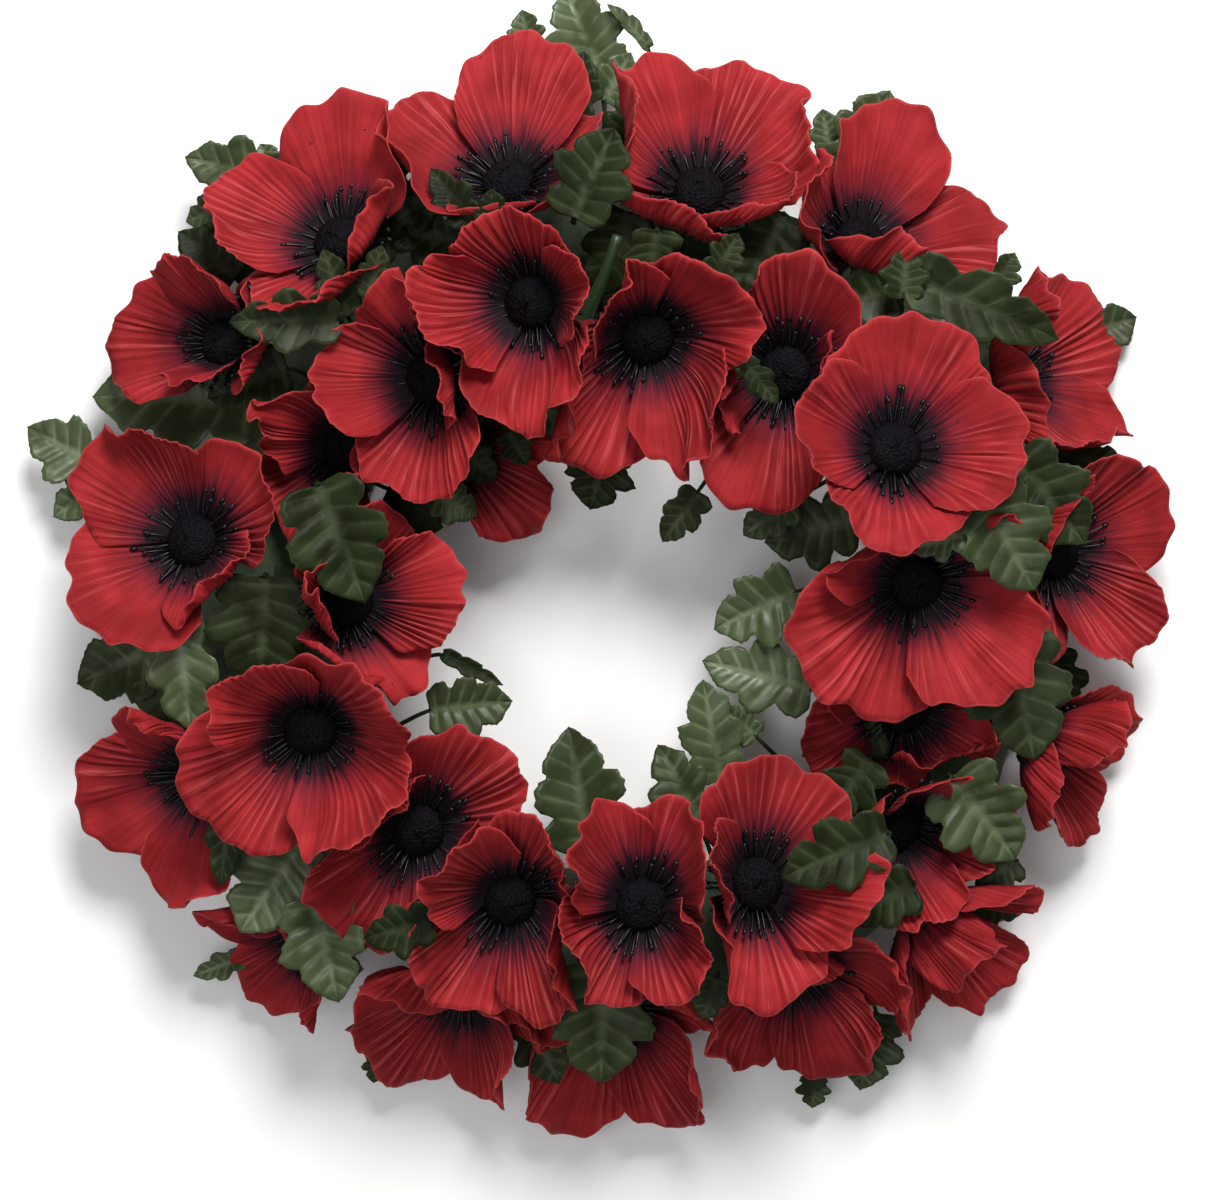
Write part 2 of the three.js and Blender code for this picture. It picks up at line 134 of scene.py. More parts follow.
# Sections of the pip and the stem, in millimetres.
PIP_RADII = (9.0, 10.0, 10.5, 10.3, 9.6, 8.3, 6.6, 4.6, 2.5, 0.6)
PIP_HEIGHTS = (1.5, 3.5, 5.5, 7.2, 8.8, 10.2, 11.3, 12.2, 12.8, 13.1)
FLOCK_GRAIN = 0.3 * MM
STAMEN_ROOT = 9.5 * MM  # from the pip's axis
STAMEN_BASE = 5.0 * MM  # above the throat
STAMEN_RISE = 5.0 * MM
FLAT_CUP = 29  # in steeper cups the stamens are shorter and stand up more
# For each ring of stamens, its share of their number and of the root's radius, how much higher it stands, its
# share of the length and the shift of its seeds.
STAMEN_RINGS = ((1.0, 1.0, 0.0, 1.0, 0), (0.55, 0.86, 1.4 * MM, 0.72, 50))
CALYX_TO_STEM_RADII = (4.6, 4.3, 3.2, 2.2, 1.7, 1.5, 1.4, 1.4, 1.4, 1.4, 1.4, 1.4)

BLADE_TEETH = 17
TOOTH_DEPTH = 0.09
UNEVEN_LOBES = 0.12
CREASED_CLOTH = 0.1 * MM
LEAF_STEM_TAPER = (1.3, 1.25, 1.2, 1.1, 1.0, 0.95, 0.9, 0.6)

RING_SIDES = 20
RING_STEPS = 96
FLAT_STEPS = 6
CORE_INSET = 0.3 * MM
TAPE_THICKNESS = 0.42 * MM
TAPE_SKEW = 12
TAPE_UNEVENNESS = 0.05  # in radians
# The sleeve's middle line and radii, in millimetres from the ring's centre.
SLEEVE_TOP = (-1.0, 139.0, 76.0)
SLEEVE_FOOT = (-17.5, 103.0, 58.0)
SLEEVE_BULGE = (3.0, 0, 3.0)
SLEEVE_RADII = (2.0, 2.0, 2.1, 2.1, 2.2, 2.2, 2.3, 2.4, 2.5, 2.7, 2.9, 3.1, 3.3, 3.4)
SLEEVE_TEETH = 6
DROP_FACING = 0.55  # drops lie where a surface's normal points at least this far up

# Poppies in millimetres and degrees, in the order clock, reach, lift, leanTo, lean, roll, petal, cup, pinch,
# pinchTo and four lengths, one row for each poppy solid.
POPPIES = [
    (105, 170, 52, 105, 37, 170, 61, 26, 0, 0, 0.98, 0.62, 0.9, 1.03),
    (79, 163, 52, 80, 27, 45, 62, 25, 0, 0, 1, 1.02, 0.9, 0.88),
    (56, 170, 48, 52, 34, -12, 59, 31, 4, 150, 1.02, 1.03, 0.9, 0.92),
    (128, 179, 50, 128, 30, 80, 60, 27, 0, 0, 1.02, 1, 0.9, 0.85),
    (147, 186, 42, 170, 32, 0, 52, 36, 12, 90, 0.95, 0.95, 1.02, 0.9),
    (172, 169, 50, 160, 16, 40, 56, 22, 0, 0, 0.85, 1.02, 1.03, 0.86),
    (107, 119, 74, 215, 20, 100, 55, 30, 0, 0, 0.83, 1.02, 1.08, 0.85),
    (131, 113, 64, 195, 28, 90, 51, 30, 6, 0, 0.95, 1, 1.03, 0.85),
    (151, 123, 44, 205, 22, 60, 50, 36, 12, 150, 0.9, 1, 0.95, 0.9),
    (84, 100, 72, 268, 26, 40, 57, 30, 0, 0, 0.88, 0.95, 1.12, 1.03),
    (54, 108, 62, 240, 16, 80, 54, 28, 4, 0, 0.95, 0.95, 1.05, 0.9),
    (29, 120, 78, 60, 13, 80, 55, 24, 0, 0, 1.02, 0.92, 0.95, 0.98),
    (29, 180, 36, 12, 48, 40, 56, 28, 0, 0, 1, 1, 0.95, 1),
    (6, 174, 38, 345, 32, 40, 56, 28, 0, 0, 0.95, 0.9, 0.95, 0.97),
    (3, 115, 64, 292, 16, 45, 58, 23, 0, 0, 0.95, 0.88, 1.02, 1.03),
    (180, 105, 55, 355, 22, 95, 52, 33, 4, 170, 0.85, 0.92, 1, 1),
    (203, 129, 72, 255, 20, 40, 57, 24, 0, 0, 0.92, 0.95, 1, 1),
    (203, 181, 38, 218, 32, 10, 55, 28, 0, 0, 0.9, 0.95, 0.95, 1),
    (229, 119, 58, 285, 12, 50, 54, 28, 8, 150, 1, 0.85, 1, 0.95),
    (250, 124, 66, 268, 20, 45, 53, 29, 6, 0, 0.95, 0.95, 1, 1.02),
    (274, 117, 70, 90, 5, 45, 51, 32, 14, 0, 0.95, 1, 0.95, 0.95),
    (296, 121, 68, 45, 14, 80, 54, 30, 10, 170, 1, 0.85, 0.95, 1.02),
    (339, 120, 38, 275, 16, 45, 50, 24, 0, 0, 0.9, 0.9, 1, 1.02),
    (321, 142, 44, 322, 36, 0, 50, 34, 0, 0, 1, 0.72, 0.9, 1),
    (341, 178, 30, 332, 60, 20, 50, 38, 0, 0, 0.95, 1, 0.95, 1),
    (248, 168, 36, 248, 44, 30, 55, 28, 0, 0, 0.95, 0.95, 1, 0.88),
    (269, 165, 32, 270, 38, 50, 58, 27, 0, 0, 0.9, 0.9, 1, 1),
    (295, 163, 36, 288, 40, 30, 55, 28, 0, 0, 0.95, 0.95, 0.98, 1),
    (314, 176, 30, 312, 58, 45, 55, 38, 0, 0, 0.95, 1, 0.95, 1),
    (227, 184, 30, 222, 50, 45, 44, 34, 0, 0, 0.9, 1, 0.95, 0.95),
    (138, 90, 32, 318, 18, 50, 42, 26, 0, 0, 1.25, 0.9, 0.9, 1.1),
]

# How strongly each petal of a poppy is pleated, in turn from roll, one row for each poppy.
PLEATING = [
    (0.8, 0.6, 0.5, 0.7), (0.8, 0.8, 1.0, 0.7), (0.8, 0.3, 0.8, 0.5), (0.25, 0.9, 0.8, 0.5),
    (0.6, 0.7, 0.7, 0.6), (1.0, 0.6, 0.5, 0.9), (0.9, 0.7, 0.6, 0.4), (0.6, 0.8, 0.8, 0.5),
    (0.7, 0.6, 0.8, 0.6), (0.7, 0.5, 0.9, 0.7), (0.8, 0.7, 0.9, 0.6), (0.6, 0.6, 0.5, 0.7),
    (0.9, 0.8, 0.7, 0.9), (0.9, 0.7, 0.7, 1.0), (0.6, 0.6, 0.9, 0.4), (0.6, 0.5, 0.3, 1.0),
    (0.7, 0.6, 0.8, 0.5), (0.8, 0.9, 0.8, 0.6), (0.9, 0.6, 0.9, 0.8), (0.7, 0.7, 0.9, 1.0),
    (0.6, 0.7, 0.9, 0.7), (0.8, 0.6, 0.7, 0.8), (0.7, 0.5, 0.9, 0.9), (0.8, 0.7, 0.8, 0.9),
    (0.9, 0.9, 0.9, 0.9), (0.8, 0.9, 0.9, 0.7), (0.8, 0.7, 1.0, 0.9), (0.8, 0.8, 0.9, 1.0),
    (0.9, 0.9, 0.9, 0.9), (0.9, 0.9, 0.8, 0.8), (0.9, 0.9, 1.0, 0.9),
]

# How many degrees more each petal of some poppies stands up, by the number of the poppy.
STANDS = {
    1: (0, -14, -2, 0), 2: (0, 0, 6, 8), 3: (0, 0, 2, 5), 4: (0, 0, 4, 10),
    5: (0, 0, 0, 14), 6: (0, 0, 10, 6), 7: (12, 0, 0, 10), 8: (0, 0, 0, 8),
    9: (0, 4, 0, 4), 10: (0, 0, -5, 0), 11: (0, 0, 0, 4), 12: (0, 4, 12, 0),
    15: (6, 0, 0, 0), 16: (0, 12, 0, 0), 17: (17, 15, 0, 0), 19: (0, 4, 0, 0),
    20: (0, 4, 0, 0), 21: (4, 0, 0, 0), 22: (0, 6, 0, 0),
}

# Leaf sprays in millimetres and degrees, one list of blades for each leaf solid: clock, reach and lift of the
# base, heading, pitch, bank, length, half width, and how light and satiny the cloth is from 0 to 1.
# The last value is also painted light on whole leaves: higher values make leaves that lie in the light paler,
# and low values keep leaves in the shade between the flowers dark.
LEAF_SPRAYS = [
    [(92, 208, 20, 112, 6, 0, 39, 17, 0.9)],
    [(62, 191, 24, 62, 6, 0, 38, 16, 0.6)],
    [(129, 213, 24, 165, 4, 0, 40, 14, 0.6)],
    [(151, 163, 22, 178, 0, 0, 68, 23, 0.7)],
    [(166, 212, 16, 150, 2, 0, 36, 15, 0.9)],
    [(185, 176, 16, 203, 0, 0, 46, 19, 0.5), (185, 176, 16, 268, 6, 10, 50, 18, 0.9)],
    [(176, 138, 60, 268, -6, 0, 44, 21, 0.1)],
    [(159, 124, 76, 292, 2, 0, 49, 21, 0.1)],
    [(135, 152, 70, 182, 8, -10, 42, 12, 0.1)],
    [(97, 146, 78, 66, 6, 0, 38, 17, 0.0)],
    [(67, 163, 56, 243, 4, 0, 42, 18, 0.2)],
    [(48, 166, 70, -22, 2, 0, 62, 15, 0.2)],
    [(30, 207, 8, 20, 0, 0, 31, 14, 0.3)],
    [(20, 162, 56, -50, 2, 0, 44, 18, 0.2)],
    [(17, 142, 82, -60, -4, 0, 44, 19, 0.5)],
    [(-5, 151, 53, -78, 2, 0, 50, 23, 0.15)],
    [(-28, 146, 50, -52, -2, 0, 42, 20, 0.5)],
    [(-41, 135, 86, 202, 2, 0, 44, 15, 0.0)],
    [(94, 62, 44, 254, -10, 0, 28, 15, 0.1)],
    [(3, 70, 34, 205, 0, 0, 36, 16, 0.8)],
    [(-25, 84, 34, 165, 0, 0, 45, 15, 0.8)],
    [(-61, 82, 34, 100, 8, 0, 41, 14, 0.6)],
    [(-97, 98, 42, 100, 0, 0, 48, 19, 0.4)],
    [(210, 87, 34, 6, 4, 0, 33, 14, 0.5)],
    [(217, 155, 45, 236, 4, 0, 44, 20, 0.8)],
    [(224, 166, 54, 284, 4, 0, 42, 18, 0.6)],
    [(267, 140, 66, -90, -6, 0, 48, 21, 0.3)],
    [(-58, 194, 18, 258, 0, 0, 32, 14, 0.3)],
]

# Small leaves between the flowers, in millimetres from the ring's centre: x, y and lift of the base, then the
# heading, pitch, bank, length, half width and satin.
# As in the sprays, the satin value also paints light and shade on whole leaves.
SMALL_LEAVES = [
    (-6, 198, 24, 62, 8, 0, 22, 10, 0.7),
    (2, 176, 30, 80, 4, 0, 26, 12, 0.2),
    (-60, 140, 40, 170, 0, 0, 34, 13, 0.0),
    (-72, 150, 44, 150, 0, 0, 26, 12, 0.0),
    (-84, 146, 40, 205, 0, 0, 24, 11, 0.0),
    (-172, -6, 52, 275, -4, 0, 46, 15, 0.9),
    (171, 58, 30, -10, 0, 0, 30, 10, 0.1),
    (-36, 219, 12, 100, 4, 0, 18, 8, 0.6),
    (12, 219, 26, 131, 10, 40, 24, 5, 0.5),
    (-136, 168, 18, 118, 4, 0, 16, 8, 0.6),
    (-157, 158, 12, 200, 4, 0, 18, 8, 0.6),
    (-202, 50, 12, 214, 6, 0, 30, 12, 0.8),
    (-105, 109, 60, 110, 8, 0, 28, 9, 0.1),
    (-97, 116, 66, 75, 10, 0, 21, 7, 0.1),
    (-58, 145, 62, 125, 6, 0, 26, 9, 0.0),
    (-48, 140, 66, 95, 8, 0, 18, 8, 0.0),
    (14, 141, 80, 262, -14, 0, 26, 12, 0.1),
    (36, 124, 78, 60, 4, 0, 18, 8, 0.1),
    (108, 119, 62, 192, 4, 0, 30, 12, 0.2),
    (108, 115, 72, 85, 6, 0, 20, 10, 0.1),
    (146, 121, 44, 60, 6, 0, 17, 8, 0.3),
    (-60, 77, 48, 248, -6, 0, 30, 11, 0.1),
    (-64, 60, 40, -40, -4, 0, 20, 9, 0.1),
    (-44, 66, 44, -60, -4, 0, 15, 7, 0.1),
    (46, 91, 86, -50, -6, 0, 22, 6, 0.0),
    (-71, -122, 84, 195, -6, 0, 28, 11, 0.0),
    (38, -146, 56, 250, 0, 0, 18, 8, 0.1),
    (114, -110, 60, 205, -4, 0, 30, 13, 0.1),
    (158, -103, 28, 212, 0, 0, 20, 9, 0.3),
    (158, -121, 20, 186, 2, 0, 22, 8, 0.3),
    (98, -62, 46, 235, 0, 0, 30, 13, 0.1),
    (31, 43, 40, 235, -8, 0, 25, 9, 0.3),
    (68, 39, 40, 215, -8, 0, 24, 10, 0.5),
    (31, -87, 40, 118, 0, 0, 34, 13, 0.4),
    (54, -54, 34, 140, 4, 0, 18, 8, 0.5),
    (-70, -21, 36, -28, -2, 0, 27, 4, 0.2),
    (-78, 43, 40, 262, -4, 0, 26, 10, 0.1),
    (-72, 40, 56, -22, -4, 0, 18, 9, 0.2),
    (-116, -116, 48, 280, 2, 0, 38, 17, 0.3),
    (-150, -143, 14, 200, 4, 0, 22, 6, 0.6),
    (-37, -163, 34, -65, 0, 0, 31, 12, 0.2),
    (172, -20, 26, -76, 0, 0, 28, 11, 0.1),
    (78, -190, 12, 268, 0, 0, 14, 7, 0.3),
    (-97, -182, 12, 262, 0, 0, 12, 6, 0.3),
    (-186, -60, 20, 196, 0, 0, 22, 10, 0.4),
    (84, 178, 20, 100, 4, 0, 18, 8, 0.5),
    (-152, 127, 28, 140, 0, 0, 30, 12, 0.1),
    (-130, 91, 40, 200, 0, 0, 34, 14, 0.1),
    (4, 150, 60, 250, -2, 0, 34, 15, 0.1),
    (131, 25, 82, 195, -4, 0, 22, 8, 0.5),
    (138, 104, 30, -40, 0, 0, 34, 14, 0.1),
    (-34, 92, 36, -70, -2, 0, 30, 13, 0.0),
    (-150, -74, 60, 262, -8, 0, 38, 9, 0.1),
    (104, -50, 34, 200, 0, 0, 34, 14, 0.0),
    (-92, 44, 30, -20, 0, 0, 24, 12, 0.0),
    (92, 32, 34, 195, 0, 0, 36, 16, 0.4),
    (-82, 170, 30, 130, 0, 0, 34, 13, 0.1),
    (-20, 190, 28, 78, 0, 0, 28, 12, 0.1),
    (44, 166, 30, 30, 0, 0, 32, 14, 0.0),
    (84, 52, 34, 120, 0, 0, 26, 11, 0.1),
    (-140, 132, 26, 150, 0, 0, 32, 13, 0.0),
    (-100, 172, 16, 50, 0, 0, 28, 13, 0.0),
]

FULL_PUFF_WIDTH = 18 * MM  # blades whose half width is less puff up less between their veins
HIGH_LEAF = 46  # a leaf based this high, in millimetres, or higher lies among the petals, which hold it
STEM_END = 9 * MM  # as much as such a leaf shows of its stem
# The poppies whose petals carry drops.
DROP_POPPIES = (1, 2, 4, 7, 10, 12, 13, 15, 16, 17, 20, 21, 22)

# ---- The stage ----

FLOOR_HALF_SIZE = 3.0
FLOOR_LEVEL = -0.4 * MM
FLOWER_LEVEL = 55 * MM  # the camera's height is counted from here
CAMERA_SIDEWAYS = -5.82 * MM  # how far the camera stands off the ring's middle
SENSOR_WIDTH = 36  # in millimetres
SKY_STRENGTH = 0.34
LAMP_TARGET_LEVEL = 50 * MM
WHITE = (1.0, 1.0, 1.0, 1.0)
# Name, place, diameter, power and tint of each lamp.
LAMPS = (
    ("key", (0.25, 1.05, 1.25), 0.7, 34.0, (1.0, 0.99, 0.97)),
    ("fill", (-0.5, -0.3, 1.5), 1.0, 6.0, (0.97, 0.98, 1.0)),
)

# ---- Settings that a user would change ----

COLOUR = {"size": 3, "subtype": "COLOR", "min": 0, "max": 1}


class PetalSettings(bpy.types.PropertyGroup):
    thickness: bpy.props.FloatProperty(
        name="Cloth thickness", description="Thickness of the petal cloth", default=0.35 * MM, unit="LENGTH")
    pleat_depth: bpy.props.FloatProperty(
        name="Pleat depth", description="Height of a strong pleat", default=1.35 * MM, unit="LENGTH")
    ruffle: bpy.props.FloatProperty(
        name="Ruffle", description="Height of the rim's waves", default=3.0 * MM, unit="LENGTH")
    pleats: bpy.props.IntProperty(
        name="Pleats", description="Pleats across one petal", default=22, min=6, max=40)
    rows: bpy.props.IntProperty(
        name="Rows", description="Rows of faces from hub to rim", default=14, min=6, max=40)
    light_red: bpy.props.FloatVectorProperty(
        name="Light red", description="Cloth on the raised parts", default=(0.365, 0.021, 0.025), **COLOUR)
    # Deep red is the cloth's own darker tone in random blotches, and also painted shade in the valleys of the
    # pleats.
    deep_red_and_fold_shade: bpy.props.FloatVectorProperty(
        name="Deep red", description="Cloth in the folds", default=(0.135, 0.0035, 0.0055), **COLOUR)
    # Rim red is a painted highlight: a thin paler line along the petal's rim.
    rim_highlight_red: bpy.props.FloatVectorProperty(
        name="Rim red", description="The cut edge of the cloth", default=(0.46, 0.06, 0.06), **COLOUR)
    # Crest red is a painted highlight: a paler red on the tops of the pleats.
    crest_highlight_red: bpy.props.FloatVectorProperty(
        name="Crest red", description="The worn tops of the pleats", default=(0.50, 0.085, 0.085), **COLOUR)
    throat: bpy.props.FloatVectorProperty(
        name="Throat", description="The dye round the pip", default=(0.006, 0.003, 0.006), **COLOUR)
    bleed: bpy.props.FloatVectorProperty(
        name="Dye bleed", description="Thin dye round the throat", default=(0.07, 0.006, 0.018), **COLOUR)


class CentreSettings(bpy.types.PropertyGroup):
    stamens: bpy.props.IntProperty(
        name="Stamens", description="Stamens in the outer ring of a poppy", default=36, min=8, max=80)
    reach: bpy.props.FloatProperty(
        name="Stamen reach", description="Length of a stamen from the pip", default=12.5 * MM, unit="LENGTH")
    filament: bpy.props.FloatProperty(
        name="Filament radius", description="Radius of a stamen's thread", default=0.5 * MM, unit="LENGTH")
    anther: bpy.props.FloatProperty(
        name="Anther size", description="Radius of the knob on a stamen", default=1.1 * MM, unit="LENGTH")
    black: bpy.props.FloatVectorProperty(
        name="Black", description="Pip and stamens", default=(0.0018, 0.0015, 0.0022), **COLOUR)


class LeafSettings(bpy.types.PropertyGroup):
    thickness: bpy.props.FloatProperty(
        name="Cloth thickness", description="Thickness of the leaf cloth", default=0.4 * MM, unit="LENGTH")
    puff: bpy.props.FloatProperty(
        name="Puff", description="Rise of the cloth between the veins", default=0.9 * MM, unit="LENGTH")
    stem_radius: bpy.props.FloatProperty(
        name="Stem radius", description="Radius of a leaf's stem", default=0.9 * MM, unit="LENGTH")
    deep_green: bpy.props.FloatVectorProperty(
        name="Deep green", description="Shaded cloth of a leaf", default=(0.006, 0.009, 0.0022), **COLOUR)
    mid_green: bpy.props.FloatVectorProperty(
        name="Mid green", description="Main colour of a leaf", default=(0.015, 0.0225, 0.0065), **COLOUR)
    # Pale green is partly the lighter cloth of some leaves and partly a painted satin sheen, in patches and
    # along the rims.
    pale_green_and_painted_sheen: bpy.props.FloatVectorProperty(
        name="Pale green", description="Satin cloth of outer leaves", default=(0.088, 0.120, 0.050), **COLOUR)
    # Vein green is partly the veins' own paler colour and partly a painted highlight on them.
    vein_and_highlight_green: bpy.props.FloatVectorProperty(
        name="Vein green", description="Pressed veins", default=(0.19, 0.235, 0.135), **COLOUR)


class RingSettings(bpy.types.PropertyGroup):
    tape_turns: bpy.props.IntProperty(
        name="Tape turns", description="Turns of floral tape round the ring", default=58, min=20, max=120)
    tape_width: bpy.props.FloatProperty(
        name="Tape width", description="Width of the floral tape", default=19 * MM, unit="LENGTH")
    tape_green: bpy.props.FloatVectorProperty(
        name="Tape green", description="Colour of the floral tape", default=(0.018, 0.036, 0.012), **COLOUR)
    sleeve_green: bpy.props.FloatVectorProperty(
        name="Stem green", description="Moulded stems and sleeve", default=(0.018, 0.038, 0.013), **COLOUR)


class DropSettings(bpy.types.PropertyGroup):
    amount: bpy.props.FloatProperty(
        name="Drops", description="Drops for each square metre of petal", default=420, min=0, max=3000)
    radius: bpy.props.FloatProperty(
        name="Drop radius", description="Radius of the largest drops", default=0.75 * MM, unit="LENGTH")


class StageSettings(bpy.types.PropertyGroup):
    height: bpy.props.FloatProperty(
        name="Camera height", description="Camera above the flowers", default=1.25, unit="LENGTH")
    span: bpy.props.FloatProperty(
        name="Span", description="Width that the picture takes in at the flowers", default=0.4695,
        unit="LENGTH")
    floor: bpy.props.FloatVectorProperty(
        name="Floor", description="Colour of the floor", default=(0.94, 0.94, 0.94), **COLOUR)


class WreathSettings(bpy.types.PropertyGroup):
    petals: bpy.props.PointerProperty(type=PetalSettings)
    centres: bpy.props.PointerProperty(type=CentreSettings)
    leaves: bpy.props.PointerProperty(type=LeafSettings)
    ring: bpy.props.PointerProperty(type=RingSettings)
    drops: bpy.props.PointerProperty(type=DropSettings)
    stage: bpy.props.PointerProperty(type=StageSettings)


# ---- Small helpers ----


def smoothstep(value, low, high):
    share = np.clip((value - low) / (high - low), 0, 1)
    return share * share * (3 - 2 * share)


def unit(vectors):
    length = np.linalg.norm(vectors, axis=-1, keepdims=True)
    return vectors / np.maximum(length, 1e-12)


def polar(clock, reach, height):
    """A point at a clock angle, anticlockwise from +X, with its reach from the middle and its height."""
    angle = math.radians(clock)
    return np.array([reach * math.cos(angle), reach * math.sin(angle), height])


def leaning(clock, degrees):
    """A unit vector that leans the given degrees from straight up towards a clock direction."""
    return polar(clock, math.sin(math.radians(degrees)), math.cos(math.radians(degrees)))


def turn_to(axis):
    """The shortest turn that takes +Z to the axis."""
    return Vector((0, 0, 1)).rotation_difference(Vector(axis))


def soft_over(distance, softness):
    """Close to 0 well below zero and to the distance well above it, with a soft bend between."""
    return softness * np.logaddexp(0, distance / softness)


def waves(angle, counts, generator):
    """A sum of sine waves round the flower, each with its own random phase, about 1 high."""
    total = np.zeros_like(angle)
    for count in counts:
        total += np.sin(count * angle + generator.uniform(0, 2 * math.pi))
    return total / math.sqrt(len(counts))


def grid_normals(points):
    """Unit normals of a grid of points whose rows run outwards and whose columns run anticlockwise."""
    outward = np.gradient(points, axis=0)
    sideways = np.gradient(points, axis=1)
    return unit(np.cross(outward, sideways))


def smooth_grid(points, times):
    """Evens out folds. The borders of the grid only move along themselves."""
    for _ in range(times):
        across = points.copy()
        across[:, 1:-1] = (points[:, :-2] + 2 * points[:, 1:-1] + points[:, 2:]) / 4
        points = across.copy()
        points[1:-1] = (across[:-2] + 2 * across[1:-1] + across[2:]) / 4
    return points


class Cloth:
    """Collects sheets of cloth and tubes as closed shells, with a UV map and named attributes."""

    def __init__(self, names):
        self.names = names
        self.points = []
        self.faces = []
        self.uvs = []
        self.values = {name: [] for name in names}
        self.count = 0

    def take(self, points, faces, uvs, values):
        self.points.append(points.reshape(-1, 3))
        self.faces.append(faces + self.count)
        self.uvs.append(uvs.reshape(-1, 2))
        for name in self.names:
            self.values[name].append(np.broadcast_to(values[name], points.shape[:-1]).reshape(-1))
        self.count += points.reshape(-1, 3).shape[0]

    def sheet(self, points, normals, thickness, uvs, values):
        """A grid of upper points becomes a closed shell of even thickness."""
        both = np.stack([points, points - normals * thickness])
        top = np.arange(points[..., 0].size).reshape(points.shape[:2])
        upper = np.stack([top[:-1, :-1], top[1:, :-1], top[1:, 1:], top[:-1, 1:]], axis=-1).reshape(-1, 4)
        lower = upper[:, [0, 3, 2, 1]] + top.size
        border = np.concatenate([top[:-1, 0], top[-1, :-1], top[:0:-1, -1], top[0, :0:-1]])
        following = np.roll(border, -1)
        edge = np.stack([border, border + top.size, following + top.size, following], axis=-1)
        self.take(both, np.concatenate([upper, lower, edge]), np.stack([uvs, uvs]), values)

    def tube(self, path, radii, sides, values):
        """A closed round tube along a list of points, with a radius at each."""
        path = np.asarray(path, float)
        ahead = unit(np.gradient(path, axis=0))
        reference = np.array([0, 0, 1.0]) if abs(ahead[0][2]) < 0.9 else np.array([1.0, 0, 0])
        side = unit(np.cross(ahead, reference))
        other = np.cross(ahead, side)
        angle = np.linspace(0, 2 * math.pi, sides, endpoint=False)
        radii = np.asarray(radii, float)[:, None, None]
        wall = path[:, None] + radii * (
            np.cos(angle)[None, :, None] * side[:, None] + np.sin(angle)[None, :, None] * other[:, None])
        number = np.arange(len(path) * sides).reshape(len(path), sides)
        beside = np.roll(number, -1, axis=1)
        faces = np.stack([number[:-1], beside[:-1], beside[1:], number[1:]], axis=-1).reshape(-1, 4)
        points = wall.reshape(-1, 3)
        ends = np.array([path[0], path[-1]])
        first, last = len(points), len(points) + 1
        caps = np.array([[first, beside[0][i], number[0][i], first] for i in range(sides)]
                        + [[last, number[-1][i], beside[-1][i], last] for i in range(sides)])
        points = np.concatenate([points, ends])
        turns = np.concatenate([np.tile(angle / (2 * math.pi), len(path)), [0, 0]])
        along = np.concatenate([np.repeat(np.linspace(0, 1, len(path)), sides), [0, 1]])
        self.take(points, np.concatenate([faces, caps]), np.stack([turns, along], axis=-1), values)

    def object(self, name, material, uv_name):
        """The mesh object, smooth shaded, in the part's frame."""
        points = np.concatenate(self.points) + RING_CENTRE
        faces = np.concatenate(self.faces)
        loops = [list(dict.fromkeys(face)) for face in faces.tolist()]
        mesh = bpy.data.meshes.new(name)
        mesh.from_pydata(points.tolist(), [], loops)
        mesh.polygons.foreach_set("use_smooth", [True] * len(mesh.polygons))
        corner_points = np.empty(len(mesh.loops), np.int32)
        mesh.loops.foreach_get("vertex_index", corner_points)
        uvs = np.concatenate(self.uvs)[corner_points]
        mesh.uv_layers.new(name=uv_name).data.foreach_set("uv", uvs.astype(np.float32).reshape(-1))
        for label, parts in self.values.items():
            attribute = mesh.attributes.new(label, "FLOAT", "POINT")
            attribute.data.foreach_set("value", np.concatenate(parts).astype(np.float32))
        mesh.materials.append(material)
        mesh.update()
        piece = bpy.data.objects.new(name, mesh)
        bpy.context.scene.collection.objects.link(piece)
        return piece


def finish_piece(piece, slot, *nodes):
    """Puts a piece on the body and hides the solids that it replaces. The slot is not used."""
    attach(piece, BODY)
    if nodes:
        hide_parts(*nodes)


def two_digits(number):
    return f"{number:02d}"


# ---- Node trees written as expressions ----


class Wire:
    """An output socket of a node tree, with arithmetic on the numbers that it carries."""

    def __init__(self, tree, socket):
        self.tree = tree
        self.socket = socket

    def output(self, name):
        return Wire(self.tree, self.socket.node.outputs[name])

    def math(self, operation, *values):
        return self.tree.math(operation, *values)

    def __add__(self, other):
        return self.math("ADD", self, other)

    def __radd__(self, other):
        return self.math("ADD", other, self)

    def __sub__(self, other):
        return self.math("SUBTRACT", self, other)

    def __rsub__(self, other):
        return self.math("SUBTRACT", other, self)

    def __mul__(self, other):
        return self.math("MULTIPLY", self, other)

    def __rmul__(self, other):
        return self.math("MULTIPLY", other, self)

    def ramp(self, low, high):
        """0 below low and 1 above high, with a smooth step between; high may be the smaller."""
        settings = {"interpolation_type": "SMOOTHSTEP"}
        if low < high:
            return self.tree.node("ShaderNodeMapRange", settings, {0: self, 1: low, 2: high})
        return self.tree.node("ShaderNodeMapRange", settings, {0: self, 1: high, 2: low, 3: 1.0, 4: 0.0})


